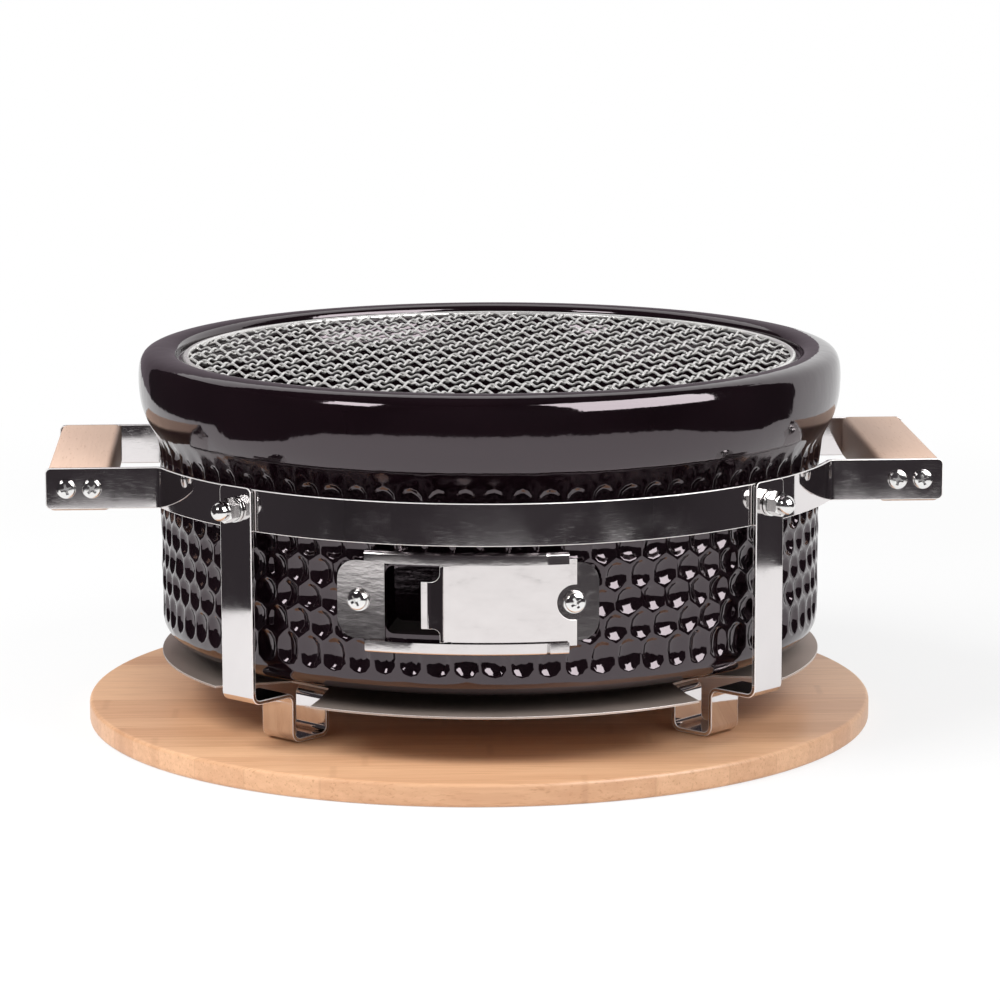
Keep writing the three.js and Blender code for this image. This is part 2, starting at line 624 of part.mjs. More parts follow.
/** Woven net: two sets of straight-sided wires that pass over and under each other, joined at each crossing. */
function wovenNet() {
  const along = {
    a: new THREE.Vector2(Math.cos(radians(NET_DIRECTION_A)), Math.sin(radians(NET_DIRECTION_A))),
    b: new THREE.Vector2(Math.cos(radians(NET_DIRECTION_B)), Math.sin(radians(NET_DIRECTION_B))),
  };
  const pitch = { a: NET_PITCH_A, b: NET_PITCH_B };
  const half = NET_WIRE / 2 / along.a.cross(along.b);
  const positions = [];
  const indices = [];

  const addPoint = (point, z) => positions.push(point.x, point.y, netMiddleZ + z) / 3 - 1;
  const addQuad = (a, b, c, d) => indices.push(a, b, c, a, c, d);

  // A crossing is a small four-sided post of three levels: one wire passes in its upper half, the other in
  // its lower half. Corner 0 lies ahead on both wires, and the others follow counter-clockwise.
  const crossings = new Map();
  const key = (i, j) => `${i},${j}`;
  const place = (i, j) =>
    new THREE.Vector2().addScaledVector(along.a, i * pitch.a).addScaledVector(along.b, j * pitch.b);
  const inside = netRingRadius - NET_RING_WIRE / 2 - NET_WIRE;
  const reach = Math.ceil((2 * netRingRadius) / Math.min(pitch.a, pitch.b));
  const corners = [[1, 1], [-1, 1], [-1, -1], [1, -1]];
  for (let i = -reach; i <= reach; i += 1) {
    for (let j = -reach; j <= reach; j += 1) {
      const centre = place(i, j);
      if (centre.length() < inside) {
        const levels = [-NET_WIRE, 0, NET_WIRE].map((z) =>
          corners.map(([a, b]) => {
            const corner = centre.clone().addScaledVector(along.a, a * half).addScaledVector(along.b, b * half);
            return addPoint(corner, z);
          }),
        );
        crossings.set(key(i, j), { i, j, centre, levels, aIsUpper: (i + j) % 2 === 0 });
      }
    }
  }

  // Each side of a post belongs to one wire: the side's two corners, in counter-clockwise order.
  const sides = {
    aAhead: [3, 0],
    bAhead: [0, 1],
    aBehind: [1, 2],
    bBehind: [2, 3],
  };
  const sideLoop = (crossing, side, upper) => {
    const [first, second] = sides[side];
    const low = crossing.levels[upper ? 1 : 0];
    const high = crossing.levels[upper ? 2 : 1];
    return [low[first], low[second], high[second], high[first]];
  };
  const addTube = (from, to) => {
    for (let side = 0; side < 4; side += 1) {
      const next = (side + 1) % 4;
      addQuad(from[side], from[next], to[next], to[side]);
    }
  };
  // The far loop of a tube is read mirrored, so that its corners meet those of the near loop.
  const mirrored = ([a, b, c, d]) => [b, a, d, c];

  const endLoop = (crossing, side, direction) => {
    const wire = side[0];
    const projection = crossing.centre.dot(direction);
    const toRing = Math.sqrt(netRingRadius ** 2 - crossing.centre.lengthSq() + projection ** 2) - projection;
    const centre = crossing.centre.clone().addScaledVector(direction, toRing);
    const across = wire === 'a' ? along.b : along.a;
    const [first, second] = sides[side].map((corner) => corners[corner][wire === 'a' ? 1 : 0]);
    const points = [first, second].map((sign) => centre.clone().addScaledVector(across, sign * half));
    const low = points.map((point) => addPoint(point, -NET_WIRE / 2));
    const high = points.map((point) => addPoint(point, NET_WIRE / 2));
    return [low[0], low[1], high[1], high[0]];
  };

  for (const crossing of crossings.values()) {
    const { i, j, levels, aIsUpper } = crossing;
    addQuad(...levels[2]);
    addQuad(...[...levels[0]].reverse());
    const neighbours = {
      aAhead: { other: crossings.get(key(i + 1, j)), opposite: 'aBehind', direction: along.a },
      aBehind: { other: crossings.get(key(i - 1, j)), opposite: 'aAhead', direction: along.a.clone().negate() },
      bAhead: { other: crossings.get(key(i, j + 1)), opposite: 'bBehind', direction: along.b },
      bBehind: { other: crossings.get(key(i, j - 1)), opposite: 'bAhead', direction: along.b.clone().negate() },
    };
    for (const [side, { other, opposite, direction }] of Object.entries(neighbours)) {
      const upper = side.startsWith('a') === aIsUpper;
      addQuad(...sideLoop(crossing, side, !upper));
      const near = sideLoop(crossing, side, upper);
      if (!other) {
        const end = endLoop(crossing, side, direction);
        addTube(near, end);
        addQuad(...end);
      } else if (side.endsWith('Ahead')) {
        addTube(near, mirrored(sideLoop(other, opposite, !upper)));
      }
    }
  }
  const geometry = new THREE.BufferGeometry();
  geometry.setAttribute('position', new THREE.Float32BufferAttribute(positions, 3));
  geometry.setIndex(indices);
  return geometry;
}

function netEdgeRing() {
  const section = arc(netRingRadius, netMiddleZ, NET_RING_WIRE / 2, 0, 360, 5);
  return turned(section, NET_SIDES);
}

addPiece('cooking_net', join(wovenNet(), netEdgeRing()), netSteel);

// ---------------------------------------------------------------- hoops with their arms

/** Plan of the front hoop: an arc round the bowl whose ends turn outward into the two arms. */
function hoopPlan() {
  const bendRadius = STRAP_BEND + STRAP_THICKNESS;
  const bendY = -armOuterY - STRAP_BEND;
  const bendX = Math.sqrt((hoopInner + bendRadius) ** 2 - bendY ** 2);
  const meeting = degrees(Math.atan2(-bendY, bendX));
  const outside = [
    new THREE.Vector2(-armEndX, -armOuterY),
    ...arc(-bendX, bendY, STRAP_BEND, 90, meeting, 3),
    ...arc(0, 0, hoopOuter, 180 + meeting, 360 - meeting, HOOP_SIDES),
    ...arc(bendX, bendY, STRAP_BEND, 180 - meeting, 90, 3),
    new THREE.Vector2(armEndX, -armOuterY),
  ];
  const inside = [
    new THREE.Vector2(armEndX, -armInnerY),
    ...arc(bendX, bendY, bendRadius, 90, 180 - meeting, 3),
    ...arc(0, 0, hoopInner, 360 - meeting, 180 + meeting, HOOP_SIDES),
    ...arc(-bendX, bendY, bendRadius, meeting, 90, 3),
    new THREE.Vector2(-armEndX, -armInnerY),
  ];
  return [...outside, ...inside];
}

const gripScrewXs = [-1, 1].flatMap((side) =>
  [-1, 1].map((place) => side * gripMiddleX + (place * GRIP_SCREW_SPACING) / 2),
);

/** Front hoop, with rounded arm ends and its bolt and screw holes. */
function hoopGeometry() {
  const elevation = roundedRectangle(0, hoopMiddleZ, 2 * armEndX, HOOP_HEIGHT, STRAP_CORNER);
  const strip = common(
    upright(hoopPlan(), hoopBottomZ, hoopBottomZ + HOOP_HEIGHT),
    frontToBack(elevation, -hoopOuter - STRAP_THICKNESS, -armInnerY + STRAP_THICKNESS),
  );
  const boltHoles = [-LEG_AZIMUTH, LEG_AZIMUTH].map((azimuth) =>
    outward(holeFor(LEG_BOLT), azimuth, hoopInner, hoopMiddleZ),
  );
  const screwHoles = gripScrewXs.map((x) =>
    holeFor(GRIP_SCREW)
      .rotateX(Math.PI / 2)
      .translate(x, -armOuterY, hoopMiddleZ),
  );
  return cut(strip, ...boltHoles, ...screwHoles);
}

addPiece('hoop_front', hoopGeometry(), mirrorSteel);
addPiece('hoop_rear', hoopGeometry().rotateZ(Math.PI), mirrorSteel);

// ---------------------------------------------------------------- grips

/** Grip of the +X side, a rounded bar between the front and rear arms. */
function gripGeometry() {
  const half = armInnerY - SEAT_GAP;
  const outline = roundedRectangle(gripMiddleX, hoopMiddleZ - GRIP_DROP, GRIP_WIDTH, GRIP_HEIGHT, GRIP_ROUND);
  const holeDepth = GRIP_SCREW_DEPTH + SCREW_TIP_ROOM;
  const holes = [-1, 1].flatMap((end) =>
    [-1, 1].map((place) =>
      rod(GRIP_SCREW.shank + HOLE_CLEARANCE, -holeDepth, holeDepth)
        .rotateX(Math.PI / 2)
        .translate(gripMiddleX + (place * GRIP_SCREW_SPACING) / 2, end * half, hoopMiddleZ),
    ),
  );
  return cut(frontToBack(outline, -half, half), ...holes);
}

addPiece('right_grip', gripGeometry(), beech);
addPiece('left_grip', gripGeometry().rotateZ(Math.PI), beech);

const gripScrewLength = STRAP_THICKNESS + 2 * SEAT_GAP + GRIP_SCREW_DEPTH;
for (const [end, turn] of [['front', 0], ['rear', 180]]) {
  gripScrewXs.forEach((x, index) => {
    const screw = headed(GRIP_SCREW, gripScrewLength)
      .rotateX(Math.PI / 2)
      .translate(x, -armOuterY - SEAT_GAP, hoopMiddleZ);
    addPiece(`grip_screw_${end}_${index + 1}`, turnTo(turn, screw), mirrorSteel);
  });
}

// ---------------------------------------------------------------- legs

/** Leg at the front: one strap, folded to an upright, a shelf, a foot, a riser and an inward run. */
function legGeometry() {
  const halfStrap = STRAP_THICKNESS / 2;
  const runZ = runTop - halfStrap;
  const shelfZ = runZ + SHELF_LIFT;
  const footZ = footUnderside + halfStrap;
  const middleLine = [
    [strapMiddle, strapTopZ],
    [strapMiddle, shelfZ],
    [footOuterRadius, shelfZ],
    [footOuterRadius, footZ],
    [riserRadius, footZ],
    [riserRadius, runZ],
    [runEndRadius, runZ],
  ].map(([radius, z]) => new THREE.Vector2(radius, z));
  const side = new THREE.ExtrudeGeometry(
    new THREE.Shape(stripOutline(middleLine, STRAP_BEND, STRAP_THICKNESS)),
    { depth: STRAP_WIDTH, bevelEnabled: false },
  );
  side.rotateX(Math.PI / 2).translate(0, STRAP_WIDTH / 2, 0).rotateZ(-Math.PI / 2);
  const tall = strapTopZ - footUnderside;
  const face = roundedRectangle(0, strapTopZ - tall, STRAP_WIDTH, 2 * tall, STRAP_CORNER);
  const strap = common(
    side,
    frontToBack(face, -strapOuter - STRAP_THICKNESS, -runEndRadius + STRAP_THICKNESS),
  );
  const boltHole = outward(holeFor(LEG_BOLT), 0, strapMiddle, hoopMiddleZ);
  const rivetHole = holeFor(RIVET).translate(0, -rivetRadius, runTop);
  return cut(strap, boltHole, rivetHole);
}

/** Hexagon nut with a domed cap on +Z, and a blind hole from below. */
function capNutGeometry() {
  const cornerRadius = NUT_ACROSS_FLATS / Math.sqrt(3);
  const hexagon = upright(arc(0, 0, cornerRadius, 0, 300, 5), 0, NUT_HEX_HEIGHT);
  const root = NUT_HEX_HEIGHT / 2;
  const domeFoot = NUT_HEIGHT - NUT_DOME_RADIUS;
  const dome = turned(
    [[0, root], [NUT_DOME_RADIUS, root], ...arc(0, domeFoot, NUT_DOME_RADIUS, 0, 90, 3)],
    WASHER_SIDES,
  );
  const bore = rod(LEG_BOLT.shank + HOLE_CLEARANCE, -HOLE_REACH, NUT_HEX_HEIGHT + SCREW_TIP_ROOM);
  return cut(join(hexagon, dome), bore);
}

const washerFoot = strapOuter + SEAT_GAP;
const nutFoot = washerFoot + LEG_WASHER_THICKNESS + SEAT_GAP;
const boltHeadRadius = hoopInner - SEAT_GAP;
const boltLength = nutFoot + NUT_HEX_HEIGHT - boltHeadRadius;
const washerGeometry = () =>
  ring(LEG_BOLT.shank + HOLE_CLEARANCE, LEG_WASHER_RADIUS, 0, LEG_WASHER_THICKNESS, WASHER_SIDES);
for (const [name, azimuth] of Object.entries(legAzimuths)) {
  const bolt = headed(LEG_BOLT, boltLength).rotateX(Math.PI);
  addPiece(`leg_${name}`, turnTo(azimuth, legGeometry()), mirrorSteel);
  addPiece(`leg_bolt_${name}`, outward(bolt, azimuth, boltHeadRadius, hoopMiddleZ), mirrorSteel);
  addPiece(`leg_washer_${name}`, outward(washerGeometry(), azimuth, washerFoot, hoopMiddleZ), mirrorSteel);
  addPiece(`cap_nut_${name}`, outward(capNutGeometry(), azimuth, nutFoot, hoopMiddleZ), mirrorSteel);
}

// ---------------------------------------------------------------- heat plate

/** Disc with a notch at each leg, wide at the edge and narrow over the leg's riser. */
function heatPlateGeometry() {
  const halfStrap = STRAP_WIDTH / 2;
  const notchEnd = riserRadius + STRAP_THICKNESS / 2;
  const waist = plateRadius - NOTCH_WAIST_INSET;
  const mouth = halfStrap + NOTCH_MOUTH_ROOM;
  const beyond = plateRadius + NOTCH_WAIST_INSET;
  const notch = [
    [-mouth, -beyond],
    [mouth, -beyond],
    [mouth, -Math.sqrt(plateRadius ** 2 - mouth ** 2)],
    [halfStrap + NOTCH_WAIST_ROOM, -waist],
    [halfStrap + NOTCH_INNER_ROOM, -notchEnd],
    [-halfStrap - NOTCH_INNER_ROOM, -notchEnd],
    [-halfStrap - NOTCH_WAIST_ROOM, -waist],
    [-mouth, -Math.sqrt(plateRadius ** 2 - mouth ** 2)],
  ].map(([x, y]) => new THREE.Vector2(x, y));
  const disc = upright(circle(plateRadius, DISC_SIDES), plateUnderside, plateTop);
  const cuts = Object.values(legAzimuths).flatMap((azimuth) => [
    turnTo(azimuth, upright(notch, plateUnderside - HOLE_REACH, plateTop + HOLE_REACH)),
    turnTo(azimuth, holeFor(RIVET).translate(0, -rivetRadius, plateTop)),
  ]);
  return cut(disc, ...cuts);
}

/** Rivet through the plate and the strap, with its formed tail underneath. */
function rivetGeometry() {
  const length = PLATE_THICKNESS + STRAP_THICKNESS + 3 * SEAT_GAP + RIVET.height;
  const body = headed(RIVET, length);
  const tail = rod(RIVET_TAIL_RADIUS, -length, -length + RIVET.height);
  return join(body, tail).translate(0, -rivetRadius, plateTop + SEAT_GAP);
}

addPiece('heat_plate', heatPlateGeometry(), mattSteel);
for (const [name, azimuth] of Object.entries(legAzimuths)) {
  addPiece(`plate_rivet_${name}`, turnTo(azimuth, rivetGeometry()), mirrorSteel);
}

// ---------------------------------------------------------------- vent plate

/** Section of the plate between its guides: a flat web whose edges are folded back over themselves. */
function guideSection() {
  const foldOuter = (lipOuter - ventInner) / 2;
  const foldInner = (lipInner - ventOuter) / 2;
  const foldRadius = ventInner + foldOuter;
  const foldZ = ventZ + GUIDE_HEIGHT / 2 - foldOuter;
  const lipZ = ventZ + GUIDE_HEIGHT / 2 - GUIDE_LIP;
  const upper = [
    ...arc(foldRadius, foldZ, foldInner, 180, 0, 2),
    new THREE.Vector2(lipInner, lipZ),
    new THREE.Vector2(lipOuter, lipZ),
    ...arc(foldRadius, foldZ, foldOuter, 0, 180, 4),
  ];
  const lower = upper.map(({ x, y }) => new THREE.Vector2(x, 2 * ventZ - y)).reverse();
  return [...upper, ...lower];
}

/** Curved plate with two ears, a window, and guides for the door above and below it. */
function ventPlateGeometry() {
  const half = EAR_HEIGHT / 2;
  const beyond = EAR_REACH + EAR_CORNER;
  const ears = common(
    alongPlate(band(ventInner, ventOuter, ventZ - half, ventZ + half), -beyond, beyond),
    throughWall(earOutline(0), VENT_AZIMUTH, lipOuter),
  );
  const web = alongPlate(guideSection(), -GUIDE_REACH, GUIDE_REACH);
  const windowHalf = half + WINDOW_OVER_EARS;
  const window = alongPlate(
    band(ventInner - VENT_SHEET, ventOuter + VENT_SHEET, ventZ - windowHalf, ventZ + windowHalf),
    VENT_WINDOW_LEFT,
    VENT_WINDOW_RIGHT,
  );
  const screwHoles = Object.values(ventScrewPlaces).map((place) =>
    outward(holeFor(VENT_SCREW), alongVent(place), ventOuter, ventZ),
  );
  return cut(join(ears, web), window, ...screwHoles);
}

addPiece('vent_plate', ventPlateGeometry(), mirrorSteel);

// ---------------------------------------------------------------- vent door

/** Sliding door: a curved sheet with a notch for the right screw and a finger tab at its left end. */
function ventDoorGeometry() {
  const tipRadius = doorMiddle + TAB_REACH;
  const tabFoot = DOOR_LEFT - TAB_RUN;
  const steps = 8;
  const middleLine = [];
  for (let step = 0; step <= steps; step += 1) {
    const place = DOOR_RIGHT + (DOOR_LEFT - DOOR_RIGHT) * (step / steps);
    middleLine.push(planPoint(alongVent(place), doorMiddle));
  }
  middleLine.push(planPoint(alongVent(tabFoot), tipRadius), planPoint(alongVent(tabFoot - TAB_TIP), tipRadius));
  const sheet = upright(
    stripOutline(middleLine, DOOR_BEND, DOOR_SHEET, 2),
    ventZ - doorHeight / 2,
    ventZ + doorHeight / 2,
  );

  // Elevation from the middle of the finger tab's slant: full height up to the slant, then only as high as
  // fits between the guide lips, then the tab with a fillet above and below it.
  const slantStart = TAB_RUN / 2 + DOOR_SHEET;
  const freeHalf = GUIDE_HEIGHT / 2 - GUIDE_LIP - DOOR_PLAY;
  const tabHalf = TAB_HEIGHT / 2;
  const upperHalf = [
    new THREE.Vector2(DOOR_RIGHT - DOOR_LEFT + TAB_RUN, GUIDE_HEIGHT),
    new THREE.Vector2(slantStart, GUIDE_HEIGHT),
    new THREE.Vector2(slantStart, freeHalf),
    new THREE.Vector2(0, freeHalf),
    ...arc(-TAB_FILLET, tabHalf + TAB_FILLET, TAB_FILLET, 0, -90, 4),
    new THREE.Vector2(-TAB_RUN - TAB_TIP, tabHalf),
  ];
  const lowerHalf = upperHalf.map(({ x, y }) => new THREE.Vector2(x, -y)).reverse();
  const elevation = [...upperHalf, ...lowerHalf].map(({ x, y }) => new THREE.Vector2(x, y + ventZ));
  const slantAzimuth = alongVent(DOOR_LEFT - TAB_RUN / 2);
  const outlined = common(sheet, throughWall(elevation, slantAzimuth, tipRadius + TAB_TIP));

  const cutter = rod(DOOR_NOTCH, -HOLE_REACH, HOLE_REACH, NOTCH_SIDES);
  return cut(outlined, outward(cutter, alongVent(VENT_SCREW_RIGHT), doorMiddle, ventZ));
}

addPiece('vent_door', ventDoorGeometry(), mirrorSteel);

// ---------------------------------------------------------------- vent fasteners

const ventWasherFoot = ventOuter + SEAT_GAP;
const ventScrewFoot = ventWasherFoot + VENT_WASHER_THICKNESS + SEAT_GAP;
const ventScrewBore = VENT_SCREW.shank + HOLE_CLEARANCE;
const ventScrewLength = ventScrewFoot - ventSeatRadius + VENT_SCREW_DEPTH;
for (const [side, place] of Object.entries(ventScrewPlaces)) {
  const azimuth = alongVent(place);
  const washer = ring(ventScrewBore, VENT_WASHER_RADIUS, 0, VENT_WASHER_THICKNESS, WASHER_SIDES);
  const screw = headed(VENT_SCREW, ventScrewLength);
  addPiece(`vent_washer_${side}`, outward(washer, azimuth, ventWasherFoot, ventZ), mirrorSteel);
  addPiece(`vent_screw_${side}`, outward(screw, azimuth, ventScrewFoot, ventZ), mirrorSteel);
}

export default brazier;
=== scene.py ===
import math

import bmesh
import bpy
from mathutils import Euler, Matrix, Vector


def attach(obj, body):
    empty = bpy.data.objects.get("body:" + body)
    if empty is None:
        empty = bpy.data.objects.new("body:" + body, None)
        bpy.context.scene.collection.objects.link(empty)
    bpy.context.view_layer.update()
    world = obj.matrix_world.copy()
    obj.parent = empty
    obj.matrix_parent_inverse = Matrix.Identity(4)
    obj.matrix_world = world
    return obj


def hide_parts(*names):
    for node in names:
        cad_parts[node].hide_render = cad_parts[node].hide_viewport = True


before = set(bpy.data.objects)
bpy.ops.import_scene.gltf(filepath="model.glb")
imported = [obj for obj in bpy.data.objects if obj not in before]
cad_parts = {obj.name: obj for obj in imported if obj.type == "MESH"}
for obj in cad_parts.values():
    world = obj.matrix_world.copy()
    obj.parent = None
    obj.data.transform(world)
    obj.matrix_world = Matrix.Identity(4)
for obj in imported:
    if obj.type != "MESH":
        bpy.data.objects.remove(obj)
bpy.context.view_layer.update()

# The looks of a tabletop charcoal brazier: a glazed, studded fire bowl in a folded steel stand with two
# beech grips, a woven cooking net, a sliding vent and a bamboo board. Lengths are written in millimetres
# and azimuths in degrees from the front towards +X; the meshes are in metres.

MM = 0.001

# Bowl
WALL_RADIUS = 160
RIM_RADIUS = 170
NECK_Z = 136
WIDEST_Z = 167
CROWN_Z = 181.7
FOOT_Z = 34.6
UNDERSIDE_Z = 42
NET_LEDGE_Z = 175.5
GRATE_LEDGE_Z = 105
FLOOR_Z = 56
DIMPLES = 80
DIMPLE_EDGES = [52.5, 67.5, 79.5, 91.5, 103.5, 115.5, 127.5, 138.7]
DIMPLE_JOG = 1.9

# Stand
HOOP_MIDDLE_Z = 124.4
HOOP_HEIGHT = 19.5
HOOP_RADIUS = 170
STRAP_RADIUS = 172.3
STRAP = 2
ARM_Y = 63.4
ARM_END = 212
LEG_AZIMUTH = 45
LEGS = {"front_left": -LEG_AZIMUTH, "front_right": LEG_AZIMUTH, "rear_right": 180 - LEG_AZIMUTH, "rear_left": LEG_AZIMUTH - 180}
PLATE_TOP_Z = 34.3

# Vent
VENT_AZIMUTH = -6.75
VENT_Z = 86.7
VENT_OUTER = 161.3
VENT_SEAT_RADIUS = 160.2


# ---------------------------------------------------------------- modelling

def place(x, y, z):
    return Vector((x, y, z)) * MM


def around(azimuth, radius, z):
    """Point at an azimuth, a radius and a height."""
    angle = math.radians(azimuth)
    return place(radius * math.sin(angle), -radius * math.cos(angle), z)


def along_vent(length):
    """Azimuth of a place along the vent plate, from its middle towards +X."""
    return VENT_AZIMUTH + math.degrees(length / VENT_OUTER)


def arc(centre, radius, start, end, steps):
    """Flat points of an arc, from one angle to another."""
    angles = [math.radians(start + (end - start) * step / steps) for step in range(steps + 1)]
    return [(centre[0] + radius * math.cos(a), centre[1] + radius * math.sin(a)) for a in angles]


def bend(start, start_handle, end_handle, end, steps):
    """Flat points of a curve with two handles."""
    points = []
    for step in range(steps + 1):
        t = step / steps
        weights = ((1 - t) ** 3, 3 * t * (1 - t) ** 2, 3 * t * t * (1 - t), t ** 3)
        corners = (start, start_handle, end_handle, end)
        points.append(tuple(sum(w * corner[axis] for w, corner in zip(weights, corners)) for axis in (0, 1)))
    return points


def rounded_rectangle(centre, width, height, radius, steps=6):
    x = width / 2 - radius
    y = height / 2 - radius
    points = []
    for side_x, side_y, start in ((1, 1, 0), (-1, 1, 90), (-1, -1, 180), (1, -1, 270)):
        points += arc((centre[0] + side_x * x, centre[1] + side_y * y), radius, start, start + 90, steps)
    return points


def rounded_path(corners, radius, steps=6):
    """Flat path through corners, each turned on a radius."""
    path = [corners[0]]
    for before, corner, after in zip(corners, corners[1:], corners[2:]):
        here = Vector(corner)
        back = (Vector(before) - here).normalized()
        ahead = (Vector(after) - here).normalized()
        half = back.angle(ahead) / 2
        setback = radius / math.tan(half)
        centre = here + (back + ahead).normalized() * (radius / math.sin(half))
        first = here + back * setback - centre
        turn = first.angle_signed(here + ahead * setback - centre)
        for step in range(steps + 1):
            spoke = first.copy()
            spoke.rotate(Matrix.Rotation(-turn * step / steps, 2))
            path.append(tuple(centre + spoke))
    return path + [corners[-1]]


def start_piece():
    """Nothing is in edit mode or selected."""
    if bpy.context.object and bpy.context.object.mode != "OBJECT":
        bpy.ops.object.mode_set(mode="OBJECT")
    bpy.ops.object.select_all(action="DESELECT")


def pick(piece):
    start_piece()
    piece.select_set(True)
    bpy.context.view_layer.objects.active = piece


def edit(piece):
    pick(piece)
    bpy.ops.object.mode_set(mode="EDIT")
    bpy.ops.mesh.select_all(action="SELECT")


def tidy_mesh():
    """In edit mode: doubles merged and faces turned outward."""
    bpy.ops.mesh.select_all(action="SELECT")
    bpy.ops.mesh.remove_doubles(threshold=1e-6)
    bpy.ops.mesh.normals_make_consistent(inside=False)
    bpy.ops.object.mode_set(mode="OBJECT")


def drawn(name, points, closed=False):
    """Chain of edges drawn from point to point; closed makes it a face."""
    start_piece()
    bpy.ops.mesh.primitive_plane_add(size=MM)
    piece = bpy.context.object
    piece.name = piece.data.name = name
    bpy.ops.object.mode_set(mode="EDIT")
    bpy.ops.mesh.merge(type="CENTER")
    bpy.ops.transform.translate(value=points[0])
    for here, there in zip(points, points[1:]):
        bpy.ops.mesh.extrude_vertices_move(TRANSFORM_OT_translate={"value": there - here})
    bpy.ops.mesh.select_all(action="SELECT")
    if closed:
        bpy.ops.mesh.edge_face_add()
    return piece


def pushed(piece, distance):
    """The drawn line or face of a piece in edit mode, extruded."""
    bpy.ops.mesh.extrude_region_move(TRANSFORM_OT_translate={"value": distance})
    tidy_mesh()
    return piece


def carried_round(piece, degrees, steps):
    """The drawn line or face of a piece in edit mode, carried round the upright axis."""
    bpy.ops.mesh.spin(steps=steps, angle=-math.radians(degrees), center=(0, 0, 0), axis=(0, 0, 1))
    tidy_mesh()
    return piece


def turned(name, profile, steps):
    """Profile of (radius, height) points turned on the upright axis."""
    return carried_round(drawn(name, [place(0, -radius, z) for radius, z in profile]), 360, steps)


def band(name, section, start, end, steps):
    """Closed section of (radius, height) points, carried from one azimuth to another."""
    return carried_round(drawn(name, [around(start, radius, z) for radius, z in section], closed=True), end - start, steps)


def apply(piece, modifier):
    pick(piece)
    bpy.ops.object.modifier_apply(modifier=modifier.name)


def shape_with(piece, tool, operation):
    """Cuts a piece by a tool, joins it on or keeps what they share; the tool is used up."""
    modifier = piece.modifiers.new("shape", "BOOLEAN")
    modifier.operation = operation
    modifier.solver = "EXACT"
    modifier.object = tool
    apply(piece, modifier)
    bpy.data.objects.remove(tool)
    return piece


def thickened(piece, thickness, offset=0.0):
    modifier = piece.modifiers.new("wall", "SOLIDIFY")
    modifier.thickness = thickness * MM
    modifier.offset = offset
    modifier.use_even_offset = True
    apply(piece, modifier)
    return piece


def eased(piece, width, segments=2, angle=35, steel=None):
    """Sharp edges broken by a small bevel; those of a cut sheet of steel are ground and satin, and their near-white
    colour paints a bright highlight along every edge.
    """
    if steel:
        piece.data.materials.clear()
        piece.data.materials.append(steel)
        piece.data.materials.append(ground_edge_and_painted_highlight)
    modifier = piece.modifiers.new("edges", "BEVEL")
    modifier.width = width * MM
    modifier.segments = segments
    modifier.limit_method = "ANGLE"
    modifier.angle_limit = math.radians(angle)
    modifier.use_clamp_overlap = True
    modifier.material = 1 if steel else -1
    apply(piece, modifier)
    return piece


def corners_rounded(piece, radius, segments=5):
    """Corners of a flat open sheet, rounded before it gets its thickness."""
    edit(piece)
    mesh = bmesh.from_edit_mesh(piece.data)
    bpy.ops.mesh.select_all(action="DESELECT")
    for vertex in mesh.verts:
        vertex.select = len(vertex.link_edges) == 2 and len(vertex.link_faces) == 1
    bmesh.update_edit_mesh(piece.data)
    bpy.ops.mesh.bevel(offset=radius * MM, segments=segments, affect="VERTICES")
    bpy.ops.object.mode_set(mode="OBJECT")
    return piece


def round_bar(name, radius, bottom, top, sides=32):
    start_piece()
    middle = place(0, 0, (bottom + top) / 2)
    bpy.ops.mesh.primitive_cylinder_add(vertices=sides, radius=radius * MM, depth=(top - bottom) * MM, location=middle)
    piece = bpy.context.object
    piece.name = piece.data.name = name
    bpy.ops.object.transform_apply(location=True, rotation=True, scale=True)
    return piece


def block(name, low, high):
    start_piece()
    low = Vector(low) * MM
    high = Vector(high) * MM
    bpy.ops.mesh.primitive_cube_add(size=1, location=(low + high) / 2, scale=high - low)
    piece = bpy.context.object
    piece.name = piece.data.name = name
    bpy.ops.object.transform_apply(location=True, rotation=True, scale=True)
    return piece


def moved(piece, location=(0, 0, 0), turn=(0, 0, 0)):
    """Turned by angles in degrees, moved by millimetres, and its place kept in its mesh."""
    pick(piece)
    piece.rotation_euler = [math.radians(angle) for angle in turn]
    piece.location = Vector(location) * MM
    bpy.ops.object.transform_apply(location=True, rotation=True, scale=True)
    return piece


def outward(piece, azimuth, radius, z):
    """A piece that stands along +Z, laid along the outward direction of an azimuth."""
    moved(piece, location=(0, -radius, z), turn=(90, 0, 0))
    return moved(piece, turn=(0, 0, azimuth))


def copied(piece, name):
    """Copy with a mesh of its own."""
    pick(piece)
    bpy.ops.object.duplicate(linked=False)
    twin = bpy.context.object
    twin.name = twin.data.name = name
    return twin


def joined(name, *pieces):
    start_piece()
    for piece in pieces:
        piece.select_set(True)
    bpy.context.view_layer.objects.active = pieces[0]
    bpy.ops.object.join()
    whole = bpy.context.object
    whole.name = whole.data.name = name
    return whole


def finished(piece, body, slot, material, *nodes, smooth=35):
    """Shading, material, and what the piece rides on and stands for."""
    pick(piece)
    bpy.ops.object.shade_smooth_by_angle(angle=math.radians(smooth))
    if not piece.data.materials:
        piece.data.materials.append(material)
    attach(piece, body)
    if nodes:
        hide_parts(*nodes)
    return piece


# ---------------------------------------------------------------- materials

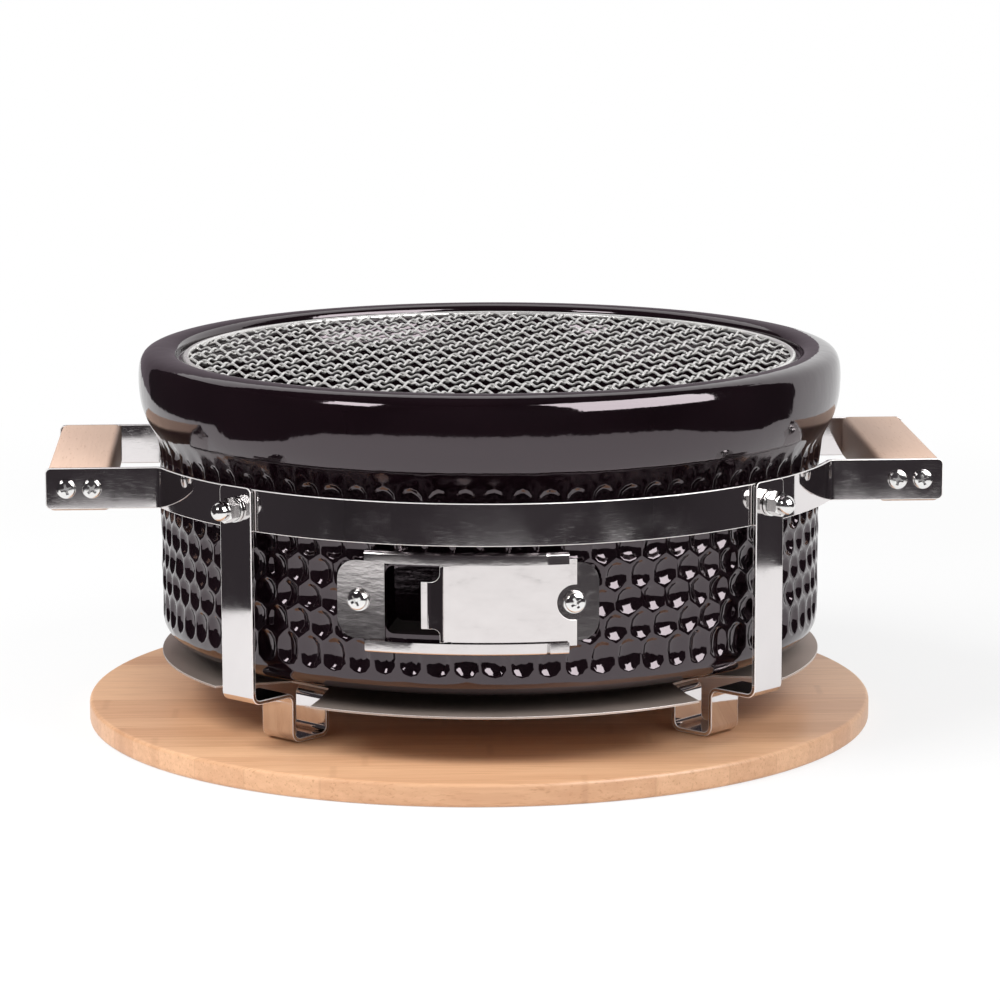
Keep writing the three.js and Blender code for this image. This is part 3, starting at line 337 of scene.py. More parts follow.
class Wire:
    """Output of a node, used in sums."""

    def __init__(self, tree, socket):
        self.tree = tree
        self.socket = socket

    def maths(self, operation, *values):
        node = self.tree.nodes.new("ShaderNodeMath")
        node.operation = operation
        for entry, value in zip(node.inputs, values):
            if isinstance(value, Wire):
                self.tree.links.new(value.socket, entry)
            else:
                entry.default_value = value
        return Wire(self.tree, node.outputs[0])

    def __add__(self, other):
        return self.maths("ADD", self, other)

    def __radd__(self, other):
        return self.maths("ADD", other, self)

    def __sub__(self, other):
        return self.maths("SUBTRACT", self, other)

    def __rsub__(self, other):
        return self.maths("SUBTRACT", other, self)

    def __mul__(self, other):
        return self.maths("MULTIPLY", self, other)

    def __rmul__(self, other):
        return self.maths("MULTIPLY", other, self)

    def __truediv__(self, other):
        return self.maths("DIVIDE", self, other)

    def __rtruediv__(self, other):
        return self.maths("DIVIDE", other, self)

    def __pow__(self, power):
        return self.maths("POWER", self, power)

    def fraction(self):
        return self.maths("FRACT", self)

    def whole(self):
        return self.maths("FLOOR", self)

    def other(self, output):
        """Another output of the same node."""
        return Wire(self.tree, self.socket.node.outputs[output])

    def size(self):
        return self.maths("ABSOLUTE", self)

    def least(self, other):
        return self.maths("MINIMUM", self, other)

    def most(self, other):
        return self.maths("MAXIMUM", self, other)


class Finish:
    """Material under construction."""

    def __init__(self, name, **constants):
        self.material = bpy.data.materials.new(name)
        self.material.use_nodes = True
        self.tree = self.material.node_tree
        self.shader = self.tree.nodes["Principled BSDF"]
        for socket, value in constants.items():
            self.shader.inputs[socket.replace("_", " ")].default_value = value

    def node(self, kind, settings=None, inputs=None, output=0):
        """Any node: its settings are set first, then its sockets."""
        node = self.tree.nodes.new("ShaderNode" + kind)
        for setting, value in (settings or {}).items():
            if setting == "stops":
                ramp = node.color_ramp
                for index, (position, colour) in enumerate(value):
                    if index > 1:
                        ramp.elements.new(position)
                    ramp.elements[index].position = position
                    ramp.elements[index].color = (*colour, 1)
            else:
                setattr(node, setting, value)
        for socket, value in (inputs or {}).items():
            if isinstance(value, Wire):
                self.tree.links.new(value.socket, node.inputs[socket])
            else:
                node.inputs[socket].default_value = value
        return Wire(self.tree, node.outputs[output])

    def feed(self, socket, wire):
        self.tree.links.new(wire.socket, self.shader.inputs[socket])

    def places(self, scale=(1, 1, 1), turn=(0, 0, 0)):
        """Object coordinates, stretched and turned."""
        here = self.node("TexCoord", output="Object")
        return self.node("Mapping", inputs={"Vector": here, "Scale": scale, "Rotation": turn})

    def noise(self, vector, scale, detail=3.0, roughness=0.5):
        inputs = {"Vector": vector, "Scale": scale, "Detail": detail, "Roughness": roughness}
        return self.node("TexNoise", inputs=inputs)

    def between(self, wire, low, high):
        """0 where the wire is at low, 1 where it is at high, and smooth between."""
        settings = {"interpolation_type": "SMOOTHSTEP"}
        return self.node("MapRange", settings, {"Value": wire, "From Min": low, "From Max": high})

    def mixed(self, mask, first, second):
        """Colour that goes from the first to the second with the mask."""
        colours = [value if isinstance(value, Wire) else (*value, 1) for value in (first, second)]
        return self.node("Mix", {"data_type": "RGBA"}, {0: mask, 6: colours[0], 7: colours[1]}, output=2)

    def relief(self, height, depth, strength=1.0):
        """Height of 0 to 1, as bumps of a depth in millimetres."""
        bump = self.node("Bump", inputs={"Height": height, "Distance": depth * MM, "Strength": strength})
        self.feed("Normal", bump)


def glaze_finish():
    """Near-black aubergine glaze that ran a little as it melted, with a few pits."""
    finish = Finish("aubergine_glaze", IOR=1.79, Specular_Tint=(1, 0.87, 0.93, 1))
    here = finish.places()
    pool = finish.noise(here, 22, 2)
    fine = finish.noise(here, 900, 3)
    finish.feed("Base Color", finish.mixed(pool, (0.003, 0.0012, 0.002), (0.009, 0.004, 0.006)))
    finish.feed("Roughness", 0.035 + 0.05 * finish.between(fine, 0.35, 0.75) + 0.03 * pool)
    runs = finish.noise(finish.places(scale=(1, 1, 0.6)), 95, 2)
    finish.relief(runs * 0.8 + 0.03 * fine, 0.35, 0.55)
    return finish.material


def bamboo_finish():
    """Strips of bamboo glued side by side, with fibres along them and a node here and there."""
    finish = Finish("laminated_bamboo", IOR=1.5, Coat_Roughness=0.25)
    here = finish.places(turn=(0, 0, math.radians(1.5)))
    split = finish.node("SeparateXYZ", inputs={"Vector": here})
    side = split.other("Y")
    up = split.other("Z")
    strip = (side / (19.5 * MM)).whole()
    across = (side / (19.5 * MM)).fraction()
    own = finish.node("TexWhiteNoise", {"noise_dimensions": "1D"}, {"W": strip + 0.5})
    shift = finish.node("CombineXYZ", inputs={"X": own * 3.7, "Y": side, "Z": up})
    fibre = finish.noise(finish.node("Mapping", inputs={"Vector": here, "Scale": (5, 260, 130)}), 6, 4, 0.6)
    bundle = finish.noise(finish.node("Mapping", inputs={"Vector": here, "Scale": (2.2, 60, 60)}), 6, 3)
    along = split / (230 * MM) + own * 5.0
    gap = (along.fraction() - 0.5).size()
    knot = 1 - finish.between(gap, 0.002, 0.011)
    line = 1 - finish.between((across - 0.5).size() * -1 + 0.5, 0.004, 0.02)
    tone = finish.between(own * 0.55 + bundle * 0.7 + fibre * 0.35, 0.35, 1.25)
    base = finish.mixed(tone, (0.62, 0.335, 0.185), (0.82, 0.50, 0.295))
    dark = finish.mixed(finish.between(fibre, 0.5, 0.72) * 0.55, base, (0.44, 0.20, 0.085))
    jointed = finish.mixed(knot * 0.22 + line * 0.18, dark, (0.42, 0.20, 0.10))
    finish.feed("Base Color", jointed)
    finish.feed("Roughness", 0.30 + 0.16 * fibre + 0.05 * bundle)
    cloud = finish.noise(shift, 3, 1)
    finish.relief(fibre * 0.6 - line * 0.8 + cloud * 0.05, 0.07, 0.5)
    return finish.material


def beech_finish():
    """Pale pinkish beech with short dark flecks along the grip."""
    finish = Finish("beech", IOR=1.48)
    here = finish.places()
    grain = finish.noise(finish.places(scale=(90, 4, 60)), 9, 4, 0.6)
    fleck = finish.noise(finish.places(scale=(420, 38, 420)), 3.2, 2)
    cloud = finish.noise(here, 14, 2)
    flecks = finish.between(fleck, 0.62, 0.72)
    base = finish.mixed(grain * 0.7 + cloud * 0.3, (0.60, 0.40, 0.30), (0.76, 0.56, 0.45))
    finish.feed("Base Color", finish.mixed(flecks * 0.4, base, (0.42, 0.23, 0.14)))
    finish.feed("Roughness", 0.48 + 0.18 * grain)
    finish.relief(grain * 0.7 - flecks * 0.5, 0.06, 0.6)
    return finish.material


def mirror_finish(name, tint, least, most):
    """Polished stainless steel with wiped marks and fine scratches."""
    finish = Finish(name, Metallic=1.0)
    here = finish.places()
    smear = finish.noise(here, 38, 3)
    scratch = finish.noise(finish.places(scale=(30, 30, 300)), 9, 2)
    speck = finish.noise(here, 1500, 1)
    finish.feed("Base Color", finish.mixed(smear, tint, [channel * 0.92 for channel in tint]))
    finish.feed("Roughness", least + (most - least) * finish.between(smear, 0.4, 0.7) + 0.03 * finish.between(scratch, 0.5, 0.7))
    wave = finish.noise(here, 16, 1)
    finish.relief(wave + speck * 0.003 + scratch * 0.004, 0.12, 0.35)
    return finish.material


def vent_finish(name, ears, bend):
    """Thin polished sheet whose bump tilts its normals back a little at its ears or at the bend of the tab."""
    finish = Finish(name, Metallic=1.0)
    here = finish.places()
    split = finish.node("SeparateXYZ", inputs={"Vector": here})
    up = split.other("Z") / (36 * MM) - (VENT_Z - 18) / 36
    right = finish.between(split, 17 * MM, 19 * MM)
    left = 1 - finish.between(split, -45 * MM, -40 * MM)
    low = (0.95 - up).most(0)
    slant = finish.between(split, -36.5 * MM, -36 * MM) * (1 - finish.between(split, -29.5 * MM, -29 * MM))
    smear = finish.noise(finish.places(scale=(1, 1, 2.5)), 60, 4, 0.6)
    lean = (right * 0.85 * (1 - up) + left * low * low * 0.5) * ears + slant * 1.1 * (1 - up) * bend
    finish.feed("Base Color", finish.mixed(smear, (0.79, 0.75, 0.745), (0.68, 0.64, 0.635)))
    finish.feed("Roughness", 0.05 + ears * 0.1 + 0.1 * finish.between(smear, 0.5, 0.75))
    finish.relief(lean + smear * (0.006 + ears * 0.02), 3.4)
    return finish.material


def plate_finish():
    """Cold-rolled sheet with a matt, slightly brushed skin."""
    finish = Finish("rolled_sheet", Metallic=0.72)
    here = finish.places()
    brush = finish.noise(finish.places(scale=(6, 320, 320)), 6, 3)
    cloud = finish.noise(here, 26, 3)
    finish.feed("Base Color", finish.mixed(cloud, (0.44, 0.36, 0.31), (0.60, 0.50, 0.45)))
    finish.feed("Roughness", 0.40 + 0.16 * brush + 0.1 * cloud)
    finish.relief(brush, 0.03, 0.5)
    return finish.material


def edge_finish():
    """Cut edge of sheet steel, ground and left satin; its near-white colour is also a painted highlight that keeps the
    edges bright under any light.
    """
    finish = Finish("ground_edge_and_painted_highlight", Metallic=0.5)
    grit = finish.noise(finish.places(), 900, 3)
    # Near-white colour of the edges: partly ground satin steel, partly a painted highlight.
    finish.feed("Base Color", finish.mixed(grit, (0.98, 0.95, 0.94), (0.84, 0.81, 0.80)))
    finish.feed("Roughness", 0.42 + 0.2 * grit)
    return finish.material


def wire_finish():
    """Drawn wire, bright with duller patches scattered along it."""
    finish = Finish("drawn_wire", Metallic=0.7)
    here = finish.places()
    dull = finish.noise(here, 120, 3)
    drawn_lines = finish.noise(here, 2400, 2)
    finish.feed("Base Color", finish.mixed(dull, (0.95, 0.94, 0.925), (0.74, 0.725, 0.705)))
    finish.feed("Roughness", 0.20 + 0.2 * dull)
    finish.relief(drawn_lines, 0.03, 0.5)
    return finish.material


def cast_finish():
    """Cast iron, rough and sooty."""
    finish = Finish("cast_iron", Metallic=0.7)
    here = finish.places()
    sand = finish.noise(here, 700, 4, 0.65)
    soot = finish.noise(here, 28, 4)
    finish.feed("Base Color", finish.mixed(soot, (0.028, 0.026, 0.025), (0.085, 0.075, 0.068)))
    finish.feed("Roughness", 0.55 + 0.35 * soot)
    finish.relief(sand, 0.3, 0.8)
    return finish.material


glaze = glaze_finish()
bamboo = bamboo_finish()
beech = beech_finish()
mirror_steel = mirror_finish("mirror_steel", (0.80, 0.765, 0.765), 0.03, 0.08)
fastener_steel = mirror_finish("plated_steel", (0.86, 0.85, 0.84), 0.10, 0.2)
vent_steel = vent_finish("vent_steel", 1, 0)
door_steel = vent_finish("door_steel", 0, 1)
ground_edge_and_painted_highlight = edge_finish()
rolled_sheet = plate_finish()
drawn_wire = wire_finish()
cast_iron = cast_finish()


# ---------------------------------------------------------------- bamboo board

board = round_bar("board", 191, 0, 11, sides=160)
eased(board, 2, segments=4)
moved(board, location=(-5.5, 0, 0))
finished(board, "board", "bamboo", bamboo, "bamboo_board")


# ---------------------------------------------------------------- ceramic bowl

def bowl_profile():
    crown = RIM_RADIUS - 12
    corner = DIMPLE_EDGES[0] - UNDERSIDE_Z
    outside = [(100, UNDERSIDE_Z), (100, FOOT_Z + 1.5), (101.5, FOOT_Z), (114.5, FOOT_Z), (116, FOOT_Z + 1.5), (116, UNDERSIDE_Z)]
    outside += arc((WALL_RADIUS - corner, DIMPLE_EDGES[0]), corner, -90, 0, 6)
    outside += [(WALL_RADIUS, z) for z in DIMPLE_EDGES[1:-1]] + [(WALL_RADIUS + 0.8, DIMPLE_EDGES[-1])]
    outside += bend((WALL_RADIUS, NECK_Z), (WALL_RADIUS, NECK_Z + 7), (RIM_RADIUS, WIDEST_Z - 21), (RIM_RADIUS, WIDEST_Z), 10)[4:]
    outside += bend((RIM_RADIUS, WIDEST_Z), (RIM_RADIUS, CROWN_Z - 2.5), (crown + 10, CROWN_Z), (crown, CROWN_Z), 10)[1:]
    inside = bend((crown, CROWN_Z), (crown - 3.5, CROWN_Z), (151.3, CROWN_Z - 1), (151.3, 178.6), 4)[1:]
    inside += [(151.3, NET_LEDGE_Z + 0.6), (150.7, NET_LEDGE_Z), (145.5, NET_LEDGE_Z), (143.3, NET_LEDGE_Z - 2.2)]
    inside += [(139.3, GRATE_LEDGE_Z + 0.5), (138.5, GRATE_LEDGE_Z), (134.5, GRATE_LEDGE_Z), (134, GRATE_LEDGE_Z - 0.5)]
    inside += arc((131 - 12, FLOOR_Z + 12), 12, 0, -90, 4)
    return outside + inside


def lattice_place(vertex):
    """Row edge and column of a vertex of the wall, or None away from the rows of dimples."""
    rows = [row for row, z in enumerate(DIMPLE_EDGES) if abs(vertex.co.z / MM - z) < 0.1]
    if not rows or vertex.co.xy.length < (WALL_RADIUS - 1) * MM:
        return None
    azimuth = math.degrees(math.atan2(vertex.co.x, -vertex.co.y))
    return rows[0], round(azimuth * DIMPLES / 180)


def select_only(mesh, kind, chosen):
    bpy.ops.mesh.select_all(action="DESELECT")
    for index, part in enumerate(getattr(mesh, kind)):
        part.select = index in chosen
    mesh.select_flush(True)


def pressed(piece):
    """Staggered rows of shallow dimples, each pressed by hand and none quite alike."""
    edit(piece)
    bpy.ops.mesh.select_mode(type="VERT")
    mesh = bmesh.from_edit_mesh(piece.data)
    lattice = {vertex.index: lattice_place(vertex) for vertex in mesh.verts}
    lattice = {index: place for index, place in lattice.items() if place}
    middles = set()
    for edge in mesh.edges:
        places = [lattice.get(vertex.index) for vertex in edge.verts]
        if all(places) and places[0][1] == places[1][1] and (min(places)[0] + places[0][1]) % 2:
            middles.add(edge.index)
    for parity, jog in ((0, DIMPLE_JOG), (1, -DIMPLE_JOG)):
        select_only(mesh, "verts", {index for index, (row, column) in lattice.items() if (row + column) % 2 == parity})
        bpy.ops.transform.translate(value=(0, 0, jog * MM))
    select_only(mesh, "verts", lattice)
    bpy.ops.transform.vertex_random(offset=1.1 * MM, seed=4)
    bpy.ops.mesh.select_mode(type="EDGE")
    mesh = bmesh.from_edit_mesh(piece.data)
    bpy.ops.mesh.select_all(action="DESELECT")
    for edge in mesh.edges:
        edge.select = edge.index in middles
    bpy.ops.mesh.dissolve_edges(use_verts=False)
    bpy.ops.mesh.select_mode(type="FACE")
    mesh = bmesh.from_edit_mesh(piece.data)
    bpy.ops.mesh.select_all(action="DESELECT")
    for face in mesh.faces:
        face.select = len(face.verts) == 6
    bpy.ops.mesh.inset(use_individual=True, thickness=0.6 * MM, depth=0)
    bpy.ops.mesh.inset(use_individual=True, thickness=2.5 * MM, depth=-2.3 * MM)
    bpy.ops.transform.vertex_random(offset=0.7 * MM, seed=9)
    bpy.ops.mesh.select_mode(type="VERT")
    bpy.ops.object.mode_set(mode="OBJECT")
    rounding = piece.modifiers.new("rounding", "SUBSURF")
    rounding.levels = rounding.render_levels = 1
    apply(piece, rounding)
    edit(piece)
    bpy.ops.mesh.select_all(action="DESELECT")
    bpy.ops.mesh.select_non_manifold()
    bpy.ops.mesh.fill_holes(sides=0)
    bpy.ops.object.mode_set(mode="OBJECT")
    return piece


bowl = pressed(turned("bowl", bowl_profile(), 2 * DIMPLES))
for name, radius, high, length in (("ear_seat", VENT_SEAT_RADIUS, 16.5, 59), ("guide_seat", VENT_SEAT_RADIUS - 0.1, 22, 44.5)):
    section = [(150, VENT_Z - high), (radius, VENT_Z - high), (radius, VENT_Z + high), (150, VENT_Z + high)]
    shape_with(bowl, band(name, section, along_vent(-length), along_vent(length), 60), "UNION")
hole_outline = rounded_rectangle((0, VENT_Z + 0.7), 55, 31.4, 4)
air_hole = pushed(drawn("air_hole", [place(x, -175, z) for x, z in hole_outline], closed=True), place(0, 65, 0))
moved(air_hole, turn=(0, 0, along_vent(-9.7)))
shape_with(bowl, air_hole, "DIFFERENCE")
finished(bowl, "bowl", "glaze", glaze, "ceramic_body", smooth=50)


# ---------------------------------------------------------------- hoops with their arms

def hoop_path():
    """Plan of the front hoop, along the middle of its stock."""
    turn_radius = 4
    bend_y = -ARM_Y - turn_radius
    bend_x = math.sqrt((HOOP_RADIUS + turn_radius) ** 2 - bend_y ** 2)
    meeting = math.degrees(math.atan2(-bend_y, bend_x))
    path = [(-ARM_END, -ARM_Y)]
    path += arc((-bend_x, bend_y), turn_radius, 90, meeting, 8)
    path += arc((0, 0), HOOP_RADIUS, 180 + meeting, 360 - meeting, 110)[1:]
    path += arc((bend_x, bend_y), turn_radius, 180 - meeting, 90, 8)[1:]
    return path + [(ARM_END, -ARM_Y)]


bottom = HOOP_MIDDLE_Z - HOOP_HEIGHT / 2
hoop = pushed(drawn("front_hoop", [place(x, y, bottom) for x, y in hoop_path()]), place(0, 0, HOOP_HEIGHT))
corners_rounded(hoop, 2.6)
thickened(hoop, STRAP)
eased(hoop, 0.4, steel=mirror_steel)
rear_hoop = moved(copied(hoop, "rear_hoop"), turn=(0, 0, 180))
finished(hoop, "stand", "mirror_steel", mirror_steel, "hoop_front", smooth=20)
finished(rear_hoop, "stand", "mirror_steel", mirror_steel, "hoop_rear", smooth=20)


# ---------------------------------------------------------------- legs

leg_corners = [(172.3, 134.95), (172.3, 34.5), (146.7, 34.5), (146.7, 12.3), (124.7, 12.3), (124.7, 32), (78, 32)]
leg_path = rounded_path(leg_corners, 4, 7)
leg = pushed(drawn("leg", [place(-10, -radius, z) for radius, z in leg_path]), place(20, 0, 0))
corners_rounded(leg, 2.6)
thickened(leg, STRAP)
eased(leg, 0.4, steel=mirror_steel)
for name, azimuth in LEGS.items():
    strap = moved(copied(leg, f"{name}_leg"), turn=(0, 0, azimuth))
    finished(strap, "stand", "mirror_steel", mirror_steel, f"leg_{name}", smooth=20)
bpy.data.objects.remove(leg)


# ---------------------------------------------------------------- fasteners

def cap_nut_piece():
    hexagon = round_bar("cap_nut", 5.77, 0, 5.5, sides=6)
    cone = turned("cone", [(0, -0.1), (5.2, -0.1), (5.95, 0.5), (5.95, 4.9), (4.9, 5.6), (0, 5.6)], 48)
    shape_with(hexagon, cone, "INTERSECT")
    dome = turned("dome", [(0, 2), (4.6, 2), (4.6, 7)] + arc((0, 7), 4.6, 8, 90, 9), 40)
    return joined("cap_nut", hexagon, dome)


def cross_head(name, head, height, recess):
    """Domed screw head with a cross recess."""
    dome = bend((head, height * 0.25), (head, height * 0.8), (head * 0.62, height), (0, height), 10)
    piece = turned(name, [(0, -1), (2, -1), (2, 0), (head - 0.25, 0), (head, 0.2)] + dome, 40)
    wide = block("slot", (-recess, -0.62, height * 0.3), (recess, 0.62, height + 1))
    tall = block("slot", (-0.62, -recess, height * 0.3), (0.62, recess, height + 1))
    core = round_bar("slot", 1.25, height * 0.2, height + 1, sides=16)
    for tool in (wide, tall, core):
        shape_with(piece, tool, "DIFFERENCE")
    return piece


nut = cap_nut_piece()
leg_washer = eased(turned("leg_washer", [(3.35, 0), (6, 0), (6, 1.2), (3.35, 1.2), (3.35, 0)], 48), 0.2)
for name, azimuth in LEGS.items():
    cap = outward(copied(nut, f"{name}_cap_nut"), azimuth, 175.1, HOOP_MIDDLE_Z)
    finished(cap, "stand", "mirror_steel", fastener_steel, f"cap_nut_{name}")
    ring = outward(copied(leg_washer, f"{name}_washer"), azimuth, 173.6, HOOP_MIDDLE_Z)
    finished(ring, "stand", "mirror_steel", fastener_steel, f"leg_washer_{name}")

grip_screw = cross_head("grip_screw", 4.6, 2.3, 2.6)
screw_xs = [-202.25, -190.25, 190.25, 202.25]
for end, turn in (("front", 0), ("rear", 180)):
    for index, x in enumerate(screw_xs):
        screw = moved(copied(grip_screw, f"{end}_screw_{index + 1}"), turn=(0, 0, 17 + 31 * index))
        moved(screw, location=(x, -64.7, HOOP_MIDDLE_Z), turn=(90, 0, 0))
        moved(screw, turn=(0, 0, turn))
        finished(screw, "stand", "mirror_steel", fastener_steel, f"grip_screw_{end}_{index + 1}")

vent_screw = cross_head("vent_screw", 4.7, 2.5, 2.6)
vent_washer = eased(turned("vent_washer", [(2.35, 0), (5.2, 0), (5.2, 0.8), (2.35, 0.8), (2.35, 0)], 48), 0.15)
for side, length in (("left", -50), ("right", 49)):
    azimuth = along_vent(length)
    head = outward(moved(copied(vent_screw, f"{side}_vent_screw"), turn=(0, 0, 28)), azimuth, 162.7, VENT_Z)
    finished(head, "bowl", "mirror_steel", fastener_steel, f"vent_screw_{side}")
    ring = outward(copied(vent_washer, f"{side}_vent_washer"), azimuth, 161.6, VENT_Z)
    finished(ring, "bowl", "mirror_steel", fastener_steel, f"vent_washer_{side}")

for used in (nut, leg_washer, grip_screw, vent_screw, vent_washer):
    bpy.data.objects.remove(used)


# ---------------------------------------------------------------- grips

grip = block("right_grip", (181.5, -62.1, 113.6), (211, 62.1, 134.4))
edit(grip)
mesh = bmesh.from_edit_mesh(grip.data)
bpy.ops.mesh.select_all(action="DESELECT")
for edge in mesh.edges:
    edge.select = abs(edge.verts[0].co.y - edge.verts[1].co.y) > 50 * MM
bmesh.update_edit_mesh(grip.data)
bpy.ops.mesh.bevel(offset=3 * MM, segments=5, affect="EDGES")
bpy.ops.object.mode_set(mode="OBJECT")
eased(grip, 0.5, segments=2, angle=60)
left_grip = moved(copied(grip, "left_grip_bar"), turn=(0, 0, 180))
grip.name = grip.data.name = "right_grip_bar"
finished(grip, "stand", "beech", beech, "right_grip")
finished(left_grip, "stand", "beech", beech, "left_grip")


# ---------------------------------------------------------------- heat plate

plate = round_bar("plate", 160.5, 33.3, PLATE_TOP_Z, sides=200)
notch_outline = [(-31, -177), (31, -177), (31, -157.3), (24, -144), (12, -125.7), (-12, -125.7), (-24, -144), (-31, -157.3)]
for azimuth in LEGS.values():
    notch = pushed(drawn("notch", [place(x, y, 30) for x, y in notch_outline], closed=True), place(0, 0, 8))
    shape_with(plate, moved(notch, turn=(0, 0, azimuth)), "DIFFERENCE")
# The plate's bevelled rim takes the near-white edge colour, a painted bright rim.
eased(plate, 0.35, steel=rolled_sheet)
finished(plate, "stand", "matt_steel", rolled_sheet, "heat_plate", smooth=20)


# ---------------------------------------------------------------- vent plate

def straight_through(name, outline, azimuth, inner, outer):
    """Outline in (across, height), drawn through the wall at an azimuth."""
    points = [place(x, -outer, z) for x, z in outline]
    return moved(pushed(drawn(name, points, closed=True), place(0, outer - inner, 0)), turn=(0, 0, azimuth))


ears = band("vent_sheet", [(160.5, VENT_Z - 18), (161.3, VENT_Z - 18), (161.3, VENT_Z + 18), (160.5, VENT_Z + 18)], along_vent(-66), along_vent(66), 72)
ear_width = 2 * VENT_OUTER * math.sin(60.8 / VENT_OUTER)
shape_with(ears, straight_through("ear_outline", rounded_rectangle((0, VENT_Z), ear_width, 35.98, 9, 10), VENT_AZIMUTH, 120, 170), "INTERSECT")
fold_z = VENT_Z + 23.6 - 2.05
upper = arc((162.55, fold_z), 1.25, 180, 0, 8) + [(163.8, VENT_Z + 18), (164.6, VENT_Z + 18)] + arc((162.55, fold_z), 2.05, 0, 180, 12)
guide_section = upper + [(radius, 2 * VENT_Z - z) for radius, z in reversed(upper)]
guides = band("guides", guide_section, along_vent(-46), along_vent(46), 60)
shape_with(ears, guides, "UNION")
window = band("window", [(159.7, VENT_Z - 19), (162.1, VENT_Z - 19), (162.1, VENT_Z + 19), (159.7, VENT_Z + 19)], along_vent(-37.6), along_vent(17.6), 40)
shape_with(ears, window, "DIFFERENCE")
eased(ears, 0.22, angle=50, steel=vent_steel)
finished(ears, "bowl", "mirror_steel", vent_steel, "vent_plate", smooth=8)


# ---------------------------------------------------------------- vent door

door_middle = 162.1
door_plan = [around(along_vent(50 - 57.7 * step / 24), door_middle, VENT_Z - 19.9) for step in range(25)]
door_plan += [around(along_vent(-15.2), door_middle + 4.6, VENT_Z - 19.9), around(along_vent(-19.3), door_middle + 4.6, VENT_Z - 19.9)]
door = pushed(drawn("door", door_plan), place(0, 0, 39.8))
thickened(door, 1)
upper_edge = [(65, 47), (4.75, 47), (4.75, 17.5), (0, 17.5)] + arc((-3.5, 14.25), 3.5, 0, -90, 8) + [(-11.6, 10.75)]
door_edge = upper_edge + [(x, -z) for x, z in reversed(upper_edge)]
elevation = [(x, z + VENT_Z) for x, z in door_edge]
shape_with(door, straight_through("door_edge", elevation, along_vent(-11.45), 110, 171), "INTERSECT")
screw_notch = outward(round_bar("screw_notch", 8.2, -6, 6, sides=64), along_vent(49), door_middle, VENT_Z)
shape_with(door, screw_notch, "DIFFERENCE")
eased(door, 0.22, angle=50, steel=door_steel)
finished(door, "door", "mirror_steel", door_steel, "vent_door", smooth=20)


# ---------------------------------------------------------------- cooking net

def crimped_wires(name, direction, spacing_direction, pitch, spacing, phase):
    """One set of parallel wires, crimped three times in every two crossings."""
    curve = bpy.data.curves.new(name, "CURVE")
    curve.dimensions = "3D"
    curve.bevel_depth = 0.675 * MM
    curve.bevel_resolution = 1
    ring = 147.05
    count = int(ring / spacing) + 1
    forward = Vector((math.cos(math.radians(direction)), math.sin(math.radians(direction)), 0))
    other = Vector((math.cos(math.radians(spacing_direction)), math.sin(math.radians(spacing_direction)), 0))
    sideways = other.dot(Vector((-forward.y, forward.x, 0)))
    step_along_other = spacing / abs(sideways)
    for index in range(-count, count + 1):
        origin = other * step_along_other * index
        toward = origin.dot(forward)
        room = toward ** 2 - origin.length_squared + ring ** 2
        if room < 30:
            continue
        first = -toward - math.sqrt(room)
        last = -toward + math.sqrt(room)
        samples = max(4, int((last - first) / (pitch * 2 / 3 / 8)))
        spline = curve.splines.new("POLY")
        spline.points.add(samples)
        for sample in range(samples + 1):
            s = first + (last - first) * sample / samples
            height = 0.8 * math.cos(3 * math.pi * s / pitch + math.pi * index + phase)
            at = (origin + forward * s) * MM
            spline.points[sample].co = (at.x, at.y, (177.25 + height) * MM, 1)
    wires = bpy.data.objects.new(name, curve)
    bpy.context.scene.collection.objects.link(wires)
    pick(wires)
    bpy.ops.object.convert(target="MESH")
    return bpy.context.object


DIRECTION_A = -44.5
DIRECTION_B = 66.2
crossing = abs(math.sin(math.radians(DIRECTION_B - DIRECTION_A)))
wires_a = crimped_wires("wires_a", DIRECTION_A, DIRECTION_B, 14.0, 16.8 * crossing, 0)
wires_b = crimped_wires("wires_b", DIRECTION_B, DIRECTION_A, 16.8, 14.0 * crossing, math.pi)
start_piece()
bpy.ops.mesh.primitive_torus_add(major_segments=160, minor_segments=12, major_radius=147.05 * MM, minor_radius=1.45 * MM, location=place(0, 0, 177.25))
edge_ring = bpy.context.object
edge_ring.name = edge_ring.data.name = "edge_ring"
moved(edge_ring, location=(0, 0, 177.25))
finished(wires_a, "net", "net_steel", drawn_wire, "cooking_net", smooth=80)
finished(wires_b, "net", "net_steel", drawn_wire, smooth=80)
finished(edge_ring, "net", "net_steel", drawn_wire, smooth=80)


# ---------------------------------------------------------------- pieces kept from the frame

kept = {"charcoal_grate": cast_iron}
for name in LEGS:
    kept[f"leg_bolt_{name}"] = fastener_steel
    kept[f"plate_rivet_{name}"] = fastener_steel
for name, material in kept.items():
    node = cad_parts[name]
    node.data.materials.clear()
    node.data.materials.append(material)


# ---------------------------------------------------------------- floor, studio and camera

def light_path(finish):
    """1 for what the camera sees, straight, in a mirror or through glass."""
    path = finish.node("LightPath")
    return path.most(path.other("Is Glossy Ray")).most(path.other("Is Transmission Ray"))


def table_finish():
    finish = Finish("white_table", Roughness=0.8, Base_Color=(0.9, 0.9, 0.9, 1))
    finish.shader.inputs["Specular IOR Level"].default_value = 0
    seen = light_path(finish)
    here = finish.places()
    away = finish.between(finish.node("VectorMath", {"operation": "LENGTH"}, {0: here}, output="Value"), 0.42, 0.95)
    white = finish.node("Emission", inputs={"Strength": 1.0})
    blend = finish.node("MixShader", inputs={0: seen * (0.74 + 0.26 * away), 1: Wire(finish.tree, finish.shader.outputs[0]), 2: white})
    finish.tree.links.new(blend.socket, finish.tree.nodes["Material Output"].inputs["Surface"])
    return finish.material


